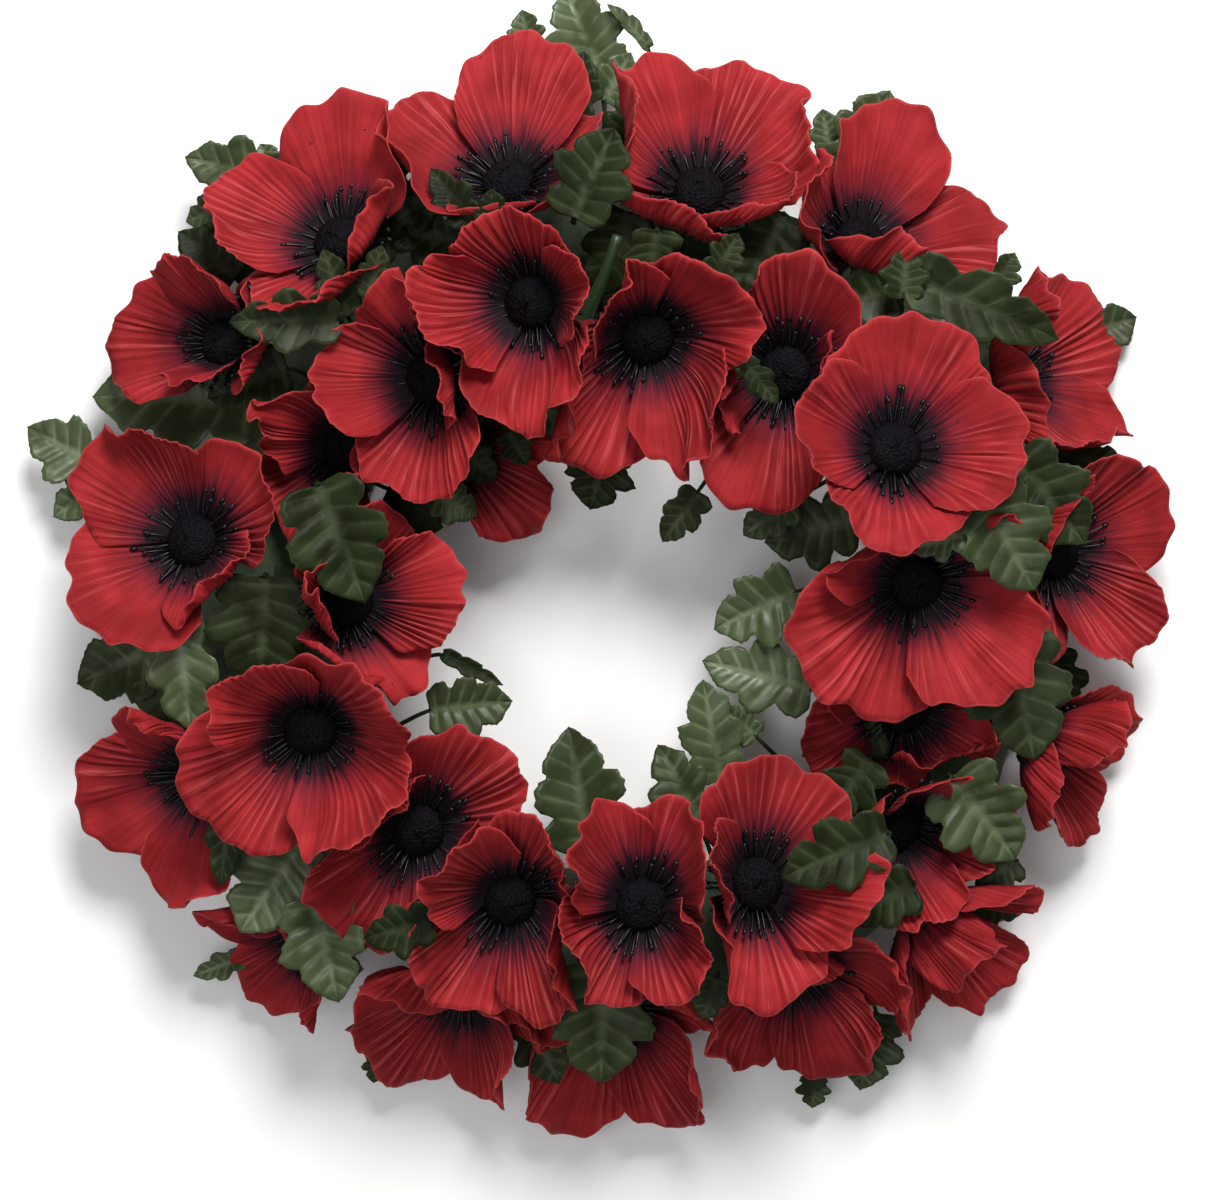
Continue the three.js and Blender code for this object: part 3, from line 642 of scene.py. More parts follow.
class Tree:
    """Adds nodes to a shader or geometry tree: a type, settings that are set first, and sockets."""

    def __init__(self, tree):
        self.tree = tree

    def node(self, kind, settings=None, sockets=None, output=0):
        made = self.tree.nodes.new(kind)
        for name, value in (settings or {}).items():
            setattr(made, name, value)
        for name, value in (sockets or {}).items():
            if isinstance(value, Wire):
                self.tree.links.new(value.socket, made.inputs[name])
            else:
                made.inputs[name].default_value = value
        return Wire(self, made.outputs[output]) if made.outputs else None

    def attribute(self, name):
        return self.node("ShaderNodeAttribute", {"attribute_name": name}, output="Fac")

    def vector(self, x, y, z):
        return self.node("ShaderNodeCombineXYZ", sockets={0: x, 1: y, 2: z})

    def mix(self, share, first, second, blend="MIX"):
        settings = {"data_type": "RGBA", "blend_type": blend}
        return self.node("ShaderNodeMix", settings, {0: share, 6: first, 7: second}, output=2)

    def math(self, operation, *values):
        return self.node("ShaderNodeMath", {"operation": operation}, dict(enumerate(values)))

    def random(self, seed, low, high):
        """A random number for each point of a geometry, between low and high."""
        made = self.node("FunctionNodeRandomValue", {"data_type": "FLOAT"}, {"Seed": seed}, output=1)
        node = made.socket.node
        node.inputs[2].default_value = low
        node.inputs[3].default_value = high
        return made

    def noise(self, vector, scale, detail=2.0):
        return self.node("ShaderNodeTexNoise", sockets={"Vector": vector, "Scale": scale, "Detail": detail})

    def object_points(self):
        return self.node("ShaderNodeTexCoord", output="Object")

    def bump(self, strength, distance, height):
        return self.node("ShaderNodeBump", sockets={
            "Strength": strength, "Distance": distance, "Height": height})

    def join(self, *parts):
        """Joins pieces of geometry."""
        whole = self.node("GeometryNodeJoinGeometry")
        for part in parts:
            self.tree.links.new(part.socket, whole.socket.node.inputs[0])
        return whole

    def made_real(self, instances, material):
        """Turns instances into geometry that carries the material."""
        real = self.node("GeometryNodeRealizeInstances", sockets={"Geometry": instances})
        return self.node("GeometryNodeSetMaterial", sockets={"Geometry": real, "Material": material})


def node_group(name, inputs):
    """A geometry tree that takes geometry and the named inputs, each with its kind, and gives geometry."""
    group = bpy.data.node_groups.new(name, "GeometryNodeTree")
    for label, kind in (("Geometry", "Geometry"), *inputs.items()):
        group.interface.new_socket(label, in_out="INPUT", socket_type="NodeSocket" + kind)
    group.interface.new_socket("Geometry", in_out="OUTPUT", socket_type="NodeSocketGeometry")
    tree = Tree(group)
    return group, tree, tree.node("NodeGroupInput")


def plain_mesh(shaped):
    """Turns an object with a node modifier into a plain mesh, and takes the modifier off."""
    bpy.context.view_layer.update()
    graph = bpy.context.evaluated_depsgraph_get()
    evaluated = shaped.evaluated_get(graph)
    mesh = bpy.data.meshes.new_from_object(evaluated, preserve_all_data_layers=True, depsgraph=graph)
    if not mesh.vertices:
        raise RuntimeError(f"{shaped.name} came out empty")
    shaped.modifiers.clear()
    before = shaped.data
    shaped.data = mesh
    bpy.data.meshes.remove(before)
    mesh.name = shaped.name
    mesh.polygons.foreach_set("use_smooth", [True] * len(mesh.polygons))


def dress_with_nodes(piece, group, values):
    """Runs a geometry tree on a piece, with its named inputs set by their identifiers."""
    modifier = piece.modifiers.new("shape", "NODES")
    modifier.node_group = group
    for item in group.interface.items_tree:
        if item.item_type == "SOCKET" and item.in_out == "INPUT" and item.name in values:
            modifier[item.identifier] = values[item.name]
    plain_mesh(piece)


# ---- Materials ----


def colour(values):
    return (*values, 1.0)


def new_material(name):
    material = bpy.data.materials.new(name)
    material.use_nodes = True
    material.node_tree.nodes.clear()
    return material, Tree(material.node_tree)


def finish_material(material, tree, sockets):
    """Adds the shader, with the given sockets, and the material's output."""
    shader = tree.node("ShaderNodeBsdfPrincipled", sockets=sockets)
    tree.node("ShaderNodeOutputMaterial", sockets={"Surface": shader})
    return material


def petal_material(settings):
    """Pleated silk: a black throat that bleeds out in streaks, painted highlights on the pleats' crests and
    along the rim, painted shade in the creases, and weave.
    """
    material, tree = new_material("petal_silk")
    place = tree.node("ShaderNodeSeparateXYZ", sockets={0: tree.node("ShaderNodeUVMap", {"uv_map": "petal"})})
    angle, share = place, place.output("Y")
    tone = tree.attribute("tone")
    rim = tree.attribute("rim")
    crease = tree.attribute("crease")
    seed = tone * 40.0
    streak = tree.noise(tree.vector(angle * 95.0, share * 2.5, seed), 1.0, 3.0)
    fine = tree.noise(tree.vector(angle * 260.0, share * 3.0, seed), 1.0, 2.0)
    blotch = tree.noise(tree.vector(angle * 9.0, share * 3.0, seed), 1.0, 2.0)
    shade = blotch.ramp(0.3, 0.7) * 0.55 + tone * 0.3
    red = tree.mix(shade, colour(settings.light_red), colour(settings.deep_red_and_fold_shade))
    # Painted shade: the valleys of the pleats and fine streaks are darkened towards deep red.
    valley_shade = crease.ramp(0.1, -0.9) * 0.55 + fine.ramp(0.55, 0.38) * 0.22
    red = tree.mix(valley_shade, red, colour(settings.deep_red_and_fold_shade))
    # Painted highlight: the tops of the pleats are mixed towards a paler red.
    crest_highlight = crease.ramp(0.05, 0.6) * fine.ramp(0.4, 0.62) * (0.25 + blotch * 0.5)
    red = tree.mix(crest_highlight, red, colour(settings.crest_highlight_red))
    # Painted highlight: a thin paler line along the rim.
    edge = (rim + (streak - 0.5) * 0.02).ramp(0.982, 0.996) * 0.45
    red = tree.mix(edge, red, colour(settings.rim_highlight_red))
    dye = share + (streak - 0.5) * 0.36 + crease * 0.02
    red = tree.mix(dye.ramp(0.66, 0.32) * 0.85, red, colour(settings.bleed))
    red = tree.mix(dye.ramp(0.47, 0.29), red, colour(settings.throat))
    weave = tree.noise(tree.object_points(), 2600.0, 1.0)
    height = fine * 0.6 + streak * 0.8 + weave * 0.22
    normal = tree.bump(0.55, 0.0006, height)
    roughness = 0.72 + (weave - 0.5) * 0.2
    return finish_material(material, tree, {
        "Base Color": red, "Roughness": roughness, "Normal": normal, "Specular IOR Level": 0.13,
        "Sheen Weight": 0.04, "Sheen Roughness": 0.4, "Sheen Tint": (1.0, 0.4, 0.36, 1.0)})


def leaf_material(settings):
    """Satin leaf cloth: deep green with pressed veins, paler partly by their own colour and partly by a
    painted highlight, painted sheen in pale patches and along the rims, and a fine weave.
    """
    material, tree = new_material("leaf_silk")
    tone = tree.attribute("tone")
    vein = tree.attribute("vein")
    rim = tree.attribute("rim")
    points = tree.object_points()
    cloud = tree.noise(points, 70.0, 3.0)
    weave = tree.noise(points, 1900.0, 1.0)
    light = tone.ramp(0.0, 1.1)
    green = tree.mix(cloud.ramp(0.35, 0.7), colour(settings.deep_green), colour(settings.mid_green))
    # Partly the leaves' own lighter cloth, partly painted sheen: pale patches, more on leaves with a high
    # satin value.
    green = tree.mix(light * (0.35 + cloud * 0.5), green, colour(settings.pale_green_and_painted_sheen))
    # Pale veins: partly their own colour, partly a painted highlight, stronger on satin leaves.
    green = tree.mix(vein * (0.12 + light * 0.5) * cloud.ramp(0.3, 0.6), green, colour(settings.vein_and_highlight_green))
    # Painted highlight along the leaf's rim.
    green = tree.mix(rim.ramp(0.93, 1.0) * (0.15 + light * 0.3), green, colour(settings.pale_green_and_painted_sheen))
    height = weave * 0.35 + cloud * 0.8 + vein * 0.6
    normal = tree.bump(0.5, 0.0005, height)
    roughness = 0.44 + (cloud - 0.5) * 0.3 + (weave - 0.5) * 0.15
    satin = light * cloud.ramp(0.35, 0.6) * 0.5
    return finish_material(material, tree, {
        "Base Color": green, "Roughness": roughness, "Normal": normal, "Specular IOR Level": 0.08,
        "Coat Weight": satin, "Coat Roughness": 0.32})


def pip_material(settings):
    """Flocked black: matt and grainy."""
    material, tree = new_material("black_flock")
    grain = tree.noise(tree.object_points(), 900.0, 2.0)
    shade = tree.mix(grain.ramp(0.35, 0.75), colour(settings.black), (0.006, 0.005, 0.008, 1.0))
    normal = tree.bump(1.0, 0.0014, grain)
    return finish_material(material, tree, {
        "Base Color": shade, "Roughness": 0.8 - grain * 0.3, "Normal": normal, "Specular IOR Level": 0.08})


def stamen_material(settings):
    """Glossy black thread and knobs."""
    material, tree = new_material("black_stamen")
    grain = tree.noise(tree.object_points(), 900.0, 1.0)
    shade = tree.mix(grain.ramp(0.4, 0.7), colour(settings.black), (0.012, 0.010, 0.014, 1.0))
    return finish_material(material, tree, {
        "Base Color": shade, "Roughness": 0.26 + grain * 0.2, "Specular IOR Level": 0.3})


def plastic_material(settings):
    """Moulded green stems, with a soft shine and faint draw marks."""
    material, tree = new_material("stem_plastic")
    marks = tree.noise(tree.object_points(), 260.0, 2.0)
    shade = tree.mix(marks.ramp(0.3, 0.75) * 0.5, colour(settings.sleeve_green), colour(settings.tape_green))
    normal = tree.bump(0.2, 0.0004, marks)
    return finish_material(material, tree, {
        "Base Color": shade, "Roughness": 0.38 + marks * 0.15, "Normal": normal})


def tape_material(settings):
    """Crinkled floral tape."""
    material, tree = new_material("floral_tape")
    crinkle = tree.noise(tree.object_points(), 420.0, 3.0)
    shade = tree.mix(crinkle.ramp(0.35, 0.7) * 0.6, colour(settings.tape_green), (0.045, 0.075, 0.03, 1.0))
    normal = tree.bump(0.7, 0.0005, crinkle)
    return finish_material(material, tree, {
        "Base Color": shade, "Roughness": 0.62 + crinkle * 0.2, "Normal": normal})


def drop_material():
    """Clear drops."""
    material, tree = new_material("clear_drop")
    return finish_material(material, tree, {
        "Base Color": WHITE, "Roughness": 0.03, "IOR": 1.4, "Transmission Weight": 1.0})


def floor_material(settings):
    """Matt and nearly white, with faint clouds."""
    material, tree = new_material("studio_floor")
    cloud = tree.noise(tree.object_points(), 1.5, 1.0)
    shade = tree.mix(cloud, colour(settings.floor), colour([0.97 * value for value in settings.floor]))
    return finish_material(material, tree, {
        "Base Color": shade, "Roughness": 0.9, "Specular IOR Level": 0.1})


# ---- Poppies ----


class Poppy:
    """One row of the table as vectors in metres, in the ring's own frame. roll and pinch_to are in radians,
    and cup, pinch and stand stay in degrees."""

    def __init__(self, index, row):
        clock, reach, lift, lean_to, lean, roll, petal, cup, pinch, pinch_to, *lengths = row
        self.name = "poppy_" + two_digits(index + 1)
        self.index = index
        self.axis = leaning(lean_to, lean)
        self.pip = polar(clock, reach * MM, lift * MM)
        self.turn = np.array(turn_to(self.axis).to_matrix())
        self.throat = self.pip - self.axis * PIP_HEIGHT
        self.site = self.pip + self.axis * SITE_ABOVE_PIP
        self.roll = math.radians(roll)
        self.petal = petal * MM
        self.cup = cup
        self.corner_cut = RIM_CORNER_CUT if lean >= RIM_LEAN else CORNER_CUT
        self.pinch = pinch
        self.pinch_to = math.radians(pinch_to)
        self.lengths = lengths
        self.pleating = PLEATING[index]
        self.stand = STANDS.get(index + 1, (0,) * PETALS)
        self.random = np.random.default_rng(POPPY_SEED + index)
        self.walls = []

    def place(self, points):
        """Points of the poppy's own frame, whose +Z is its axis and whose origin is its throat."""
        return points @ self.turn.T + self.throat


def make_poppies():
    """All poppies with the planes that keep neighbours apart, as (point, normal out of the cell, fold)."""
    poppies = [Poppy(i, row) for i, row in enumerate(POPPIES)]
    for i, one in enumerate(poppies):
        for other in poppies[i + 1:]:
            between = other.site - one.site
            if np.linalg.norm(between) > NEIGHBOUR_REACH:
                continue
            share = one.petal / (one.petal + other.petal) + HIGHER_SHARE * (one.pip[2] - other.pip[2])
            middle = one.site + between * share
            normal = unit(between * (1, 1, OVERLAP_TILT))
            for poppy, sign in ((one, 1), (other, -1)):
                outward = normal * sign
                along = unit(poppy.axis - outward * (poppy.axis @ outward))
                fold = FOLD_UP_HIGH if outward[2] < 0 else FOLD_UP_LOW
                poppy.walls.append((middle - outward * POPPY_GAP, outward, along * fold))
    return poppies


def clear_of_ring(points, inset):
    """Moves points that are too close to the ring straight out of its oval section."""
    reach = np.hypot(points[..., 0], points[..., 1])
    across = (reach - RING_RADIUS) / (RING_WIDTH / 2 + RING_GAP + inset)
    height = points[..., 2] / (RING_HEIGHT + RING_GAP + inset)
    inside = np.clip(np.hypot(across, height), 1e-3, 1)
    scale = (RING_RADIUS + (reach - RING_RADIUS) / inside) / reach
    return np.stack([points[..., 0] * scale, points[..., 1] * scale, points[..., 2] / inside], axis=-1)


def keep_in_cell(poppy, points, inset):
    """Keeps points on their own side of every wall, above the floor and clear of the ring. What crosses a
    wall is folded up along it. Also returns how far each point was moved."""
    start = points
    for turn in range(FOLD_PASSES):
        for wall_point, normal, fold in poppy.walls:
            beyond = (points - wall_point) @ normal + inset
            push = soft_over(beyond, FOLD_SOFTNESS) if turn == 0 else np.maximum(beyond, 0)
            points = points - push[..., None] * normal
            if turn == 0:
                points = points + push[..., None] * fold
        low = FLOOR_GAP + inset
        points = np.concatenate([points[..., :2], np.maximum(points[..., 2], low)[..., None]], axis=-1)
        points = clear_of_ring(points, inset)
    return points, np.linalg.norm(points - start, axis=-1)


def section(petal_length, share, rise):
    """Radius, height and slope of a petal's section at a share of the petal length."""
    radius = np.zeros_like(share)
    height = np.zeros_like(share)
    step = petal_length * share / SLOPE_STEPS
    for i in range(SLOPE_STEPS):
        at = share * (i + 0.5) / SLOPE_STEPS
        blend = smoothstep(at, 0, CLAW_LENGTH)
        flare = np.maximum(0, (at - FLARE_START) / (1 - FLARE_START)) ** 2
        slope = np.radians(HUB_RISE + (RISE_GAIN * rise - HUB_RISE) * blend - RIM_FLARE * flare)
        radius += step * np.cos(slope)
        height += step * np.sin(slope)
    return radius, height, slope


def pleat_groups(across, generator):
    """Where a petal is pleated, from 0 to 1: a few soft groups with smooth cloth between them."""
    groups = np.zeros_like(across)
    for _ in range(PLEAT_GROUPS):
        middle = generator.uniform(-0.9, 0.9)
        width = generator.uniform(0.22, 0.5)
        groups = np.maximum(groups, smoothstep(width - np.abs(across - middle), -0.12, 0.18))
    return groups


def petal_sheet(poppy, petal, settings):
    """The surface of one petal before it is pleated: the solid's, bent softly at its neighbours."""
    is_inner = petal % 2 == 1
    generator = poppy.random
    widths = np.repeat(generator.uniform(*PLEAT_WIDTHS, settings.pleats), STRIPS)
    across = 2 * np.concatenate([[0], np.cumsum(widths)]) / widths.sum() - 1
    along = 1 - (1 - FIRST_ROW) * np.linspace(1, 0, settings.rows) ** ROW_POWER
    across, along = np.meshgrid(across, along)
    claw = CLAW_WIDTH + (1 - CLAW_WIDTH) * smoothstep(along, 0, CLAW_LENGTH)
    half_width = math.radians(INNER_HALF_WIDTH if is_inner else OUTER_HALF_WIDTH) * claw
    angle = poppy.roll + petal * math.pi / 2 + half_width * across
    scallops = 1 + along ** 2 * (SCALLOP_DEPTH * waves(angle, SCALLOP_COUNTS, generator)
                                 + UNEVEN_RIM * np.sin(2.2 * across + generator.uniform(0, 2 * math.pi)))
    share = along * poppy.lengths[petal] * (1 - poppy.corner_cut * np.abs(across) ** CORNER_POWER) * scallops
    rise = poppy.cup + poppy.pinch * np.cos(2 * (angle - poppy.pinch_to))
    rise = rise + poppy.stand[petal] * (1 - 0.5 * across ** 2)
    radius, height, slope = section(poppy.petal, share, rise)
    layer = LAYER_AT_HUB + LAYER_GAIN * share if is_inner else 0 * share
    curls = generator.uniform(*SIDE_CURLS, 2) * MM
    curl = smoothstep(np.abs(across), 0.45, 1) * smoothstep(share, 0.2, 0.9) * np.where(across < 0, *curls)
    layer = layer + curl if is_inner else layer - OUTER_CURL * curl
    outward = radius - layer * np.sin(slope)
    upward = height + layer * np.cos(slope)
    points = poppy.place(np.stack([outward * np.cos(angle), outward * np.sin(angle), upward], axis=-1))
    room = RUFFLE_ROOM * settings.ruffle * share ** 2
    points, pushed = keep_in_cell(poppy, points, layer + room)
    points = smooth_grid(points, 3)
    return {"points": points, "across": across, "along": along, "angle": angle, "share": share,
            "pushed": pushed, "pleating": poppy.pleating[petal]}


def finish_petal(cloth, poppy, sheet, ruffles, settings):
    """Pleats and ruffles one petal, and adds it to the cloth."""
    generator = poppy.random
    points, share, along = sheet["points"], sheet["share"], sheet["along"]
    pleat, strip = np.divmod(np.arange(points.shape[1]), STRIPS)
    depths = generator.uniform(*PLEAT_STRENGTHS, pleat[-1] + 1)
    zigzag = np.array(PLEAT_PROFILE)[strip] * depths[pleat]
    groups = pleat_groups(sheet["across"], generator)
    strength = sheet["pleating"] * (LEAST_PLEATING + (1 - LEAST_PLEATING) * groups)
    squeezed = np.clip(sheet["pushed"] / FULL_SQUEEZE, 0, 1)
    strength = np.clip(strength + 0.2 * squeezed, 0, 1.0)
    fade = smoothstep(along, 0.15, 0.55) * (1 - 0.55 * smoothstep(along, 0.75, 1))
    crease = zigzag[None, :] * strength * fade
    lift = settings.pleat_depth * crease * (0.35 + 0.65 * share)
    lift = lift + ruffles(sheet["angle"], share) * (1 + 0.5 * squeezed)
    lift = lift - RIM_ROLL * smoothstep(along, 0.9, 1) * generator.uniform(-0.6, 1)
    normals = grid_normals(points)
    points = points + normals * lift[..., None]
    points[..., 2] = np.maximum(points[..., 2], FLOOR_GAP)
    uvs = np.stack([sheet["angle"] / (2 * math.pi), share * poppy.petal / WEAVE_LENGTH], axis=-1)
    cloth.sheet(points, grid_normals(points), settings.thickness, uvs, {
        "rim": along, "crease": crease, "tone": np.full_like(along, generator.uniform(0, 1))})


def ruffle_field(poppy, settings):
    """Waves that all petals of a poppy share, so that its layers keep their order."""
    phases = poppy.random.uniform(0, 2 * math.pi, len(RUFFLE_COUNTS))

    def field(angle, share):
        total = np.zeros_like(angle)
        for count, high, phase in zip(RUFFLE_COUNTS, RUFFLE_HEIGHTS, phases):
            swing = np.sin(count * angle + phase + 0.6 * np.sin(2 * angle + phase))
            total += high * swing * share ** (1.5 + count / 8)
        return settings.ruffle * 0.62 * total

    return field


def poppy_petals(poppy, settings, material):
    """The petals of one poppy, which replace its solid."""
    cloth = Cloth(["rim", "crease", "tone"])
    ruffles = ruffle_field(poppy, settings)
    for petal in range(PETALS):
        sheet = petal_sheet(poppy, petal, settings)
        finish_petal(cloth, poppy, sheet, ruffles, settings)
    piece = cloth.object(poppy.name + "_petals", material, "petal")
    finish_piece(piece, "petal_fabric", poppy.name)


# ---- Centres and stems ----


def stamen_tree():
    """Adds two rings of stamens to a pip, and sets them at the throat of their poppy."""
    group, tree, given = node_group("stamen_rings", {
        "Count": "Int", "Inner Radius": "Float", "Reach": "Float", "Filament": "Float", "Anther": "Float",
        "Rise": "Float", "Seed": "Int", "Material": "Material", "Throat": "Vector", "Turn": "Vector"})
    count, inner, reach = given.output("Count"), given.output("Inner Radius"), given.output("Reach")
    seed, rise, anther = given.output("Seed"), given.output("Rise"), given.output("Anther")
    thread = tree.node("GeometryNodeCurveQuadraticBezier", sockets={
        "Resolution": 4, "Start": (0.0, 0.0, 0.0), "Middle": tree.vector(reach * 0.5, 0.0, rise * 0.9),
        "End": tree.vector(reach, 0.0, rise)})
    round_profile = tree.node("GeometryNodeCurvePrimitiveCircle", sockets={
        "Resolution": 4, "Radius": given.output("Filament")})
    filament = tree.node("GeometryNodeCurveToMesh", sockets={
        "Curve": thread, "Profile Curve": round_profile, "Fill Caps": True})
    ball = tree.node("GeometryNodeMeshIcoSphere", sockets={"Radius": anther, "Subdivisions": 1})
    knob = tree.node("GeometryNodeTransform", sockets={
        "Geometry": ball, "Translation": tree.vector(reach, 0.0, rise), "Scale": (1.5, 0.9, 0.8)})
    stamen = tree.join(filament, knob)
    rings = []
    for share, radius, height, length, shift in STAMEN_RINGS:
        spots = tree.node("GeometryNodeMeshCircle", sockets={
            "Vertices": count * share, "Radius": inner * radius})
        spots = tree.node("GeometryNodeSetPosition", sockets={
            "Geometry": spots, "Offset": tree.vector(0.0, 0.0, STAMEN_BASE + height)})
        angle = tree.node("ShaderNodeSeparateXYZ", sockets={0: tree.node("GeometryNodeInputPosition")})
        heading = tree.math("ARCTAN2", angle.output("Y"), angle)
        sideways = tree.random(seed + (shift + 1), -0.16, 0.16)
        pitch = tree.random(seed + (shift + 2), -0.30, 0.14)
        size = tree.random(seed + (shift + 3), 0.78, 1.12) * length
        rings.append(tree.node("GeometryNodeInstanceOnPoints", sockets={
            "Points": spots, "Instance": stamen, "Rotation": tree.vector(0.0, pitch, heading + sideways),
            "Scale": tree.vector(size, 1.0, size)}))
    turned = tree.node("FunctionNodeEulerToRotation", sockets={0: given.output("Turn")})
    placed = tree.node("GeometryNodeTransform", sockets={
        "Geometry": tree.join(*rings), "Translation": given.output("Throat"), "Rotation": turned})
    black = tree.made_real(placed, given.output("Material"))
    tree.node("NodeGroupOutput", sockets={"Geometry": tree.join(given, black)})
    return group


def poppy_centre(poppy, group, settings, flock, black):
    """The flocked pip, with its stamens."""
    cloth = Cloth([])
    path = poppy.throat + (np.array(PIP_HEIGHTS) * MM)[:, None] * poppy.axis
    cloth.tube(path, np.array(PIP_RADII) * MM, 34, {})
    grain = poppy.random.normal(size=(len(cloth.points[0]), 3)) * FLOCK_GRAIN
    cloth.points[0] = cloth.points[0] + np.clip(grain, -2 * FLOCK_GRAIN, 2 * FLOCK_GRAIN)
    piece = cloth.object(poppy.name + "_centre", flock, "round")
    openness = min(FLAT_CUP / poppy.cup, 1)
    dress_with_nodes(piece, group, {
        "Count": settings.stamens, "Inner Radius": STAMEN_ROOT, "Reach": settings.reach * openness,
        "Filament": settings.filament, "Anther": settings.anther, "Rise": STAMEN_RISE / openness,
        "Seed": STAMEN_SEED_STEP * poppy.index, "Material": black,
        "Throat": tuple(poppy.throat + RING_CENTRE), "Turn": tuple(turn_to(poppy.axis).to_euler())})
    finish_piece(piece, "flower_centre")


def bend_between(start, middle, end, count):
    """Points along the parabola that leaves start towards middle and arrives at end from middle."""
    share = np.linspace(0, 1, count)[:, None]
    return (1 - share) ** 2 * start + 2 * share * (1 - share) * middle + share ** 2 * end


def poppy_stem(poppy, plastic):
    """The calyx under the petals, which narrows into the stem that runs to the ring."""
    clock = math.degrees(math.atan2(poppy.throat[1], poppy.throat[0]))
    start = poppy.throat - poppy.axis * 0.5 * MM
    start[2] = max(start[2], 9 * MM)
    middle = poppy.throat - poppy.axis * 16 * MM
    middle[2] = max(middle[2], 6 * MM)
    path = bend_between(start, middle, polar(clock, RING_RADIUS, STEM_DEPTH), len(CALYX_TO_STEM_RADII))
    cloth = Cloth([])
    cloth.tube(path, np.array(CALYX_TO_STEM_RADII) * MM, 12, {})
    finish_piece(cloth.object(poppy.name + "_stem", plastic, "round"), "stem_plastic")


# ---- Leaves ----

VEIN_SHARES = (0.0, 0.13, 0.27, 0.41, 0.55, 0.69, 0.84, 1.0)  # where veins leave the midrib
# Half of a lobed blade's outline from base to tip, with two steps from each vein to the next: first along the
# blade, then out from the midrib as a share of the half width.
LEAF_OUTLINE = (
    (0.02, 0.0), (-0.02, 0.52), (0.08, 0.82), (0.22, 0.84), (0.29, 0.60), (0.38, 0.93), (0.51, 1.0),
    (0.61, 0.86), (0.62, 0.56), (0.70, 0.67), (0.80, 0.60), (0.87, 0.44), (0.91, 0.30), (0.96, 0.18),
    (1.0, 0.0))


def leaf_outline(share, generator):
    """How far along and how far out half of a blade's outline lies, with uneven lobes and small teeth."""
    knots = np.interp(np.arange(len(LEAF_OUTLINE)) / 2, np.arange(len(VEIN_SHARES)), VEIN_SHARES)
    along, out = np.array(LEAF_OUTLINE).T
    uneven = 1 + generator.uniform(-UNEVEN_LOBES, UNEVEN_LOBES, len(LEAF_OUTLINE))
    dense = np.linspace(0, 1, 201)
    curves = np.stack([np.interp(dense, knots, along), np.interp(dense, knots, out * uneven)])
    for _ in range(14):
        curves[:, 1:-1] = (curves[:, :-2] + 2 * curves[:, 1:-1] + curves[:, 2:]) / 4
    teeth = (BLADE_TEETH * share + generator.uniform(0, 1)) % 1 - 0.5
    fade = smoothstep(share, 0, 0.1) * smoothstep(1 - share, 0, 0.1)
    along, out = (np.interp(share, dense, curve) for curve in curves)
    return along, out * (1 + TOOTH_DEPTH * teeth * fade)


def blade_sheet(cloth, blade, generator, settings, fine):
    """One lobed blade: folded on its midrib, pressed down along its veins and puffed up between them."""
    clock, reach, lift, heading, pitch, bank, length, half_width, satin = blade
    base = polar(clock, reach * MM, lift * MM)
    length, half_width = length * MM, half_width * MM
    along = leaning(heading, 90 - pitch)
    side = unit(np.cross((0, 0, 1), along))
    up = np.cross(along, side)
    tilt = math.radians(bank + generator.uniform(-5, 5))
    side, up = side * math.cos(tilt) + up * math.sin(tilt), up * math.cos(tilt) - side * math.sin(tilt)
    steps = 6 if fine else 4
    shares = np.unique(np.concatenate([
        np.linspace(low, high, steps + 1) for low, high in zip(VEIN_SHARES, VEIN_SHARES[1:])]))
    across = np.linspace(-1, 1, 13 if fine else 9)
    across = np.sign(across) * np.abs(across) ** 0.85
    share, across = np.meshgrid(shares, across, indexing="ij")
    outlines = [leaf_outline(shares, generator) for _ in range(2)]
    reaches, halves = (np.where(across < 0, *(outline[i][:, None] for outline in outlines)) for i in range(2))
    out = half_width * halves * np.abs(across)
    midrib_place = share ** 1.2
    forward = length * (midrib_place + (reaches - midrib_place) * np.abs(across))
    droop = generator.uniform(0.02, 0.10)
    curl = generator.uniform(-0.10, 0.16)
    spacing = np.min(np.abs(share[..., None] - np.array(VEIN_SHARES[1:-1])), axis=-1)
    main = np.exp(-(spacing / 0.016) ** 2) * smoothstep(1 - np.abs(across), 0.0, 0.25)
    midrib = np.exp(-(across / 0.10) ** 2)
    vein = np.maximum(main, midrib)
    dome = np.sqrt(np.clip(np.sin(math.pi * np.abs(across) ** 0.8), 0, 1))
    between = smoothstep(spacing, 0.0, 0.06) * dome
    fold = math.radians(LEAF_FOLD * generator.uniform(0.8, 1.3))
    height = out * math.sin(fold) - droop * forward * share + curl * out ** 2 / half_width
    cloth_rise = settings.puff * generator.uniform(0.3, 1.25) * between
    cloth_rise = cloth_rise + CREASED_CLOTH * generator.normal(size=share.shape)
    height = height + cloth_rise * min(half_width / FULL_PUFF_WIDTH, 1) ** 1.5
    points = (base + along * forward[..., None] + side * (
        np.sign(across) * out * math.cos(fold))[..., None] + up * height[..., None])
    points[..., 2] = np.maximum(points[..., 2], FLOOR_GAP)
    cloth.sheet(points, grid_normals(points), settings.thickness, np.stack([across, share], axis=-1), {
        "tone": np.full_like(share, satin + generator.uniform(0, 0.15)), "vein": vein,
        "rim": np.maximum(np.abs(across), share ** 3)})


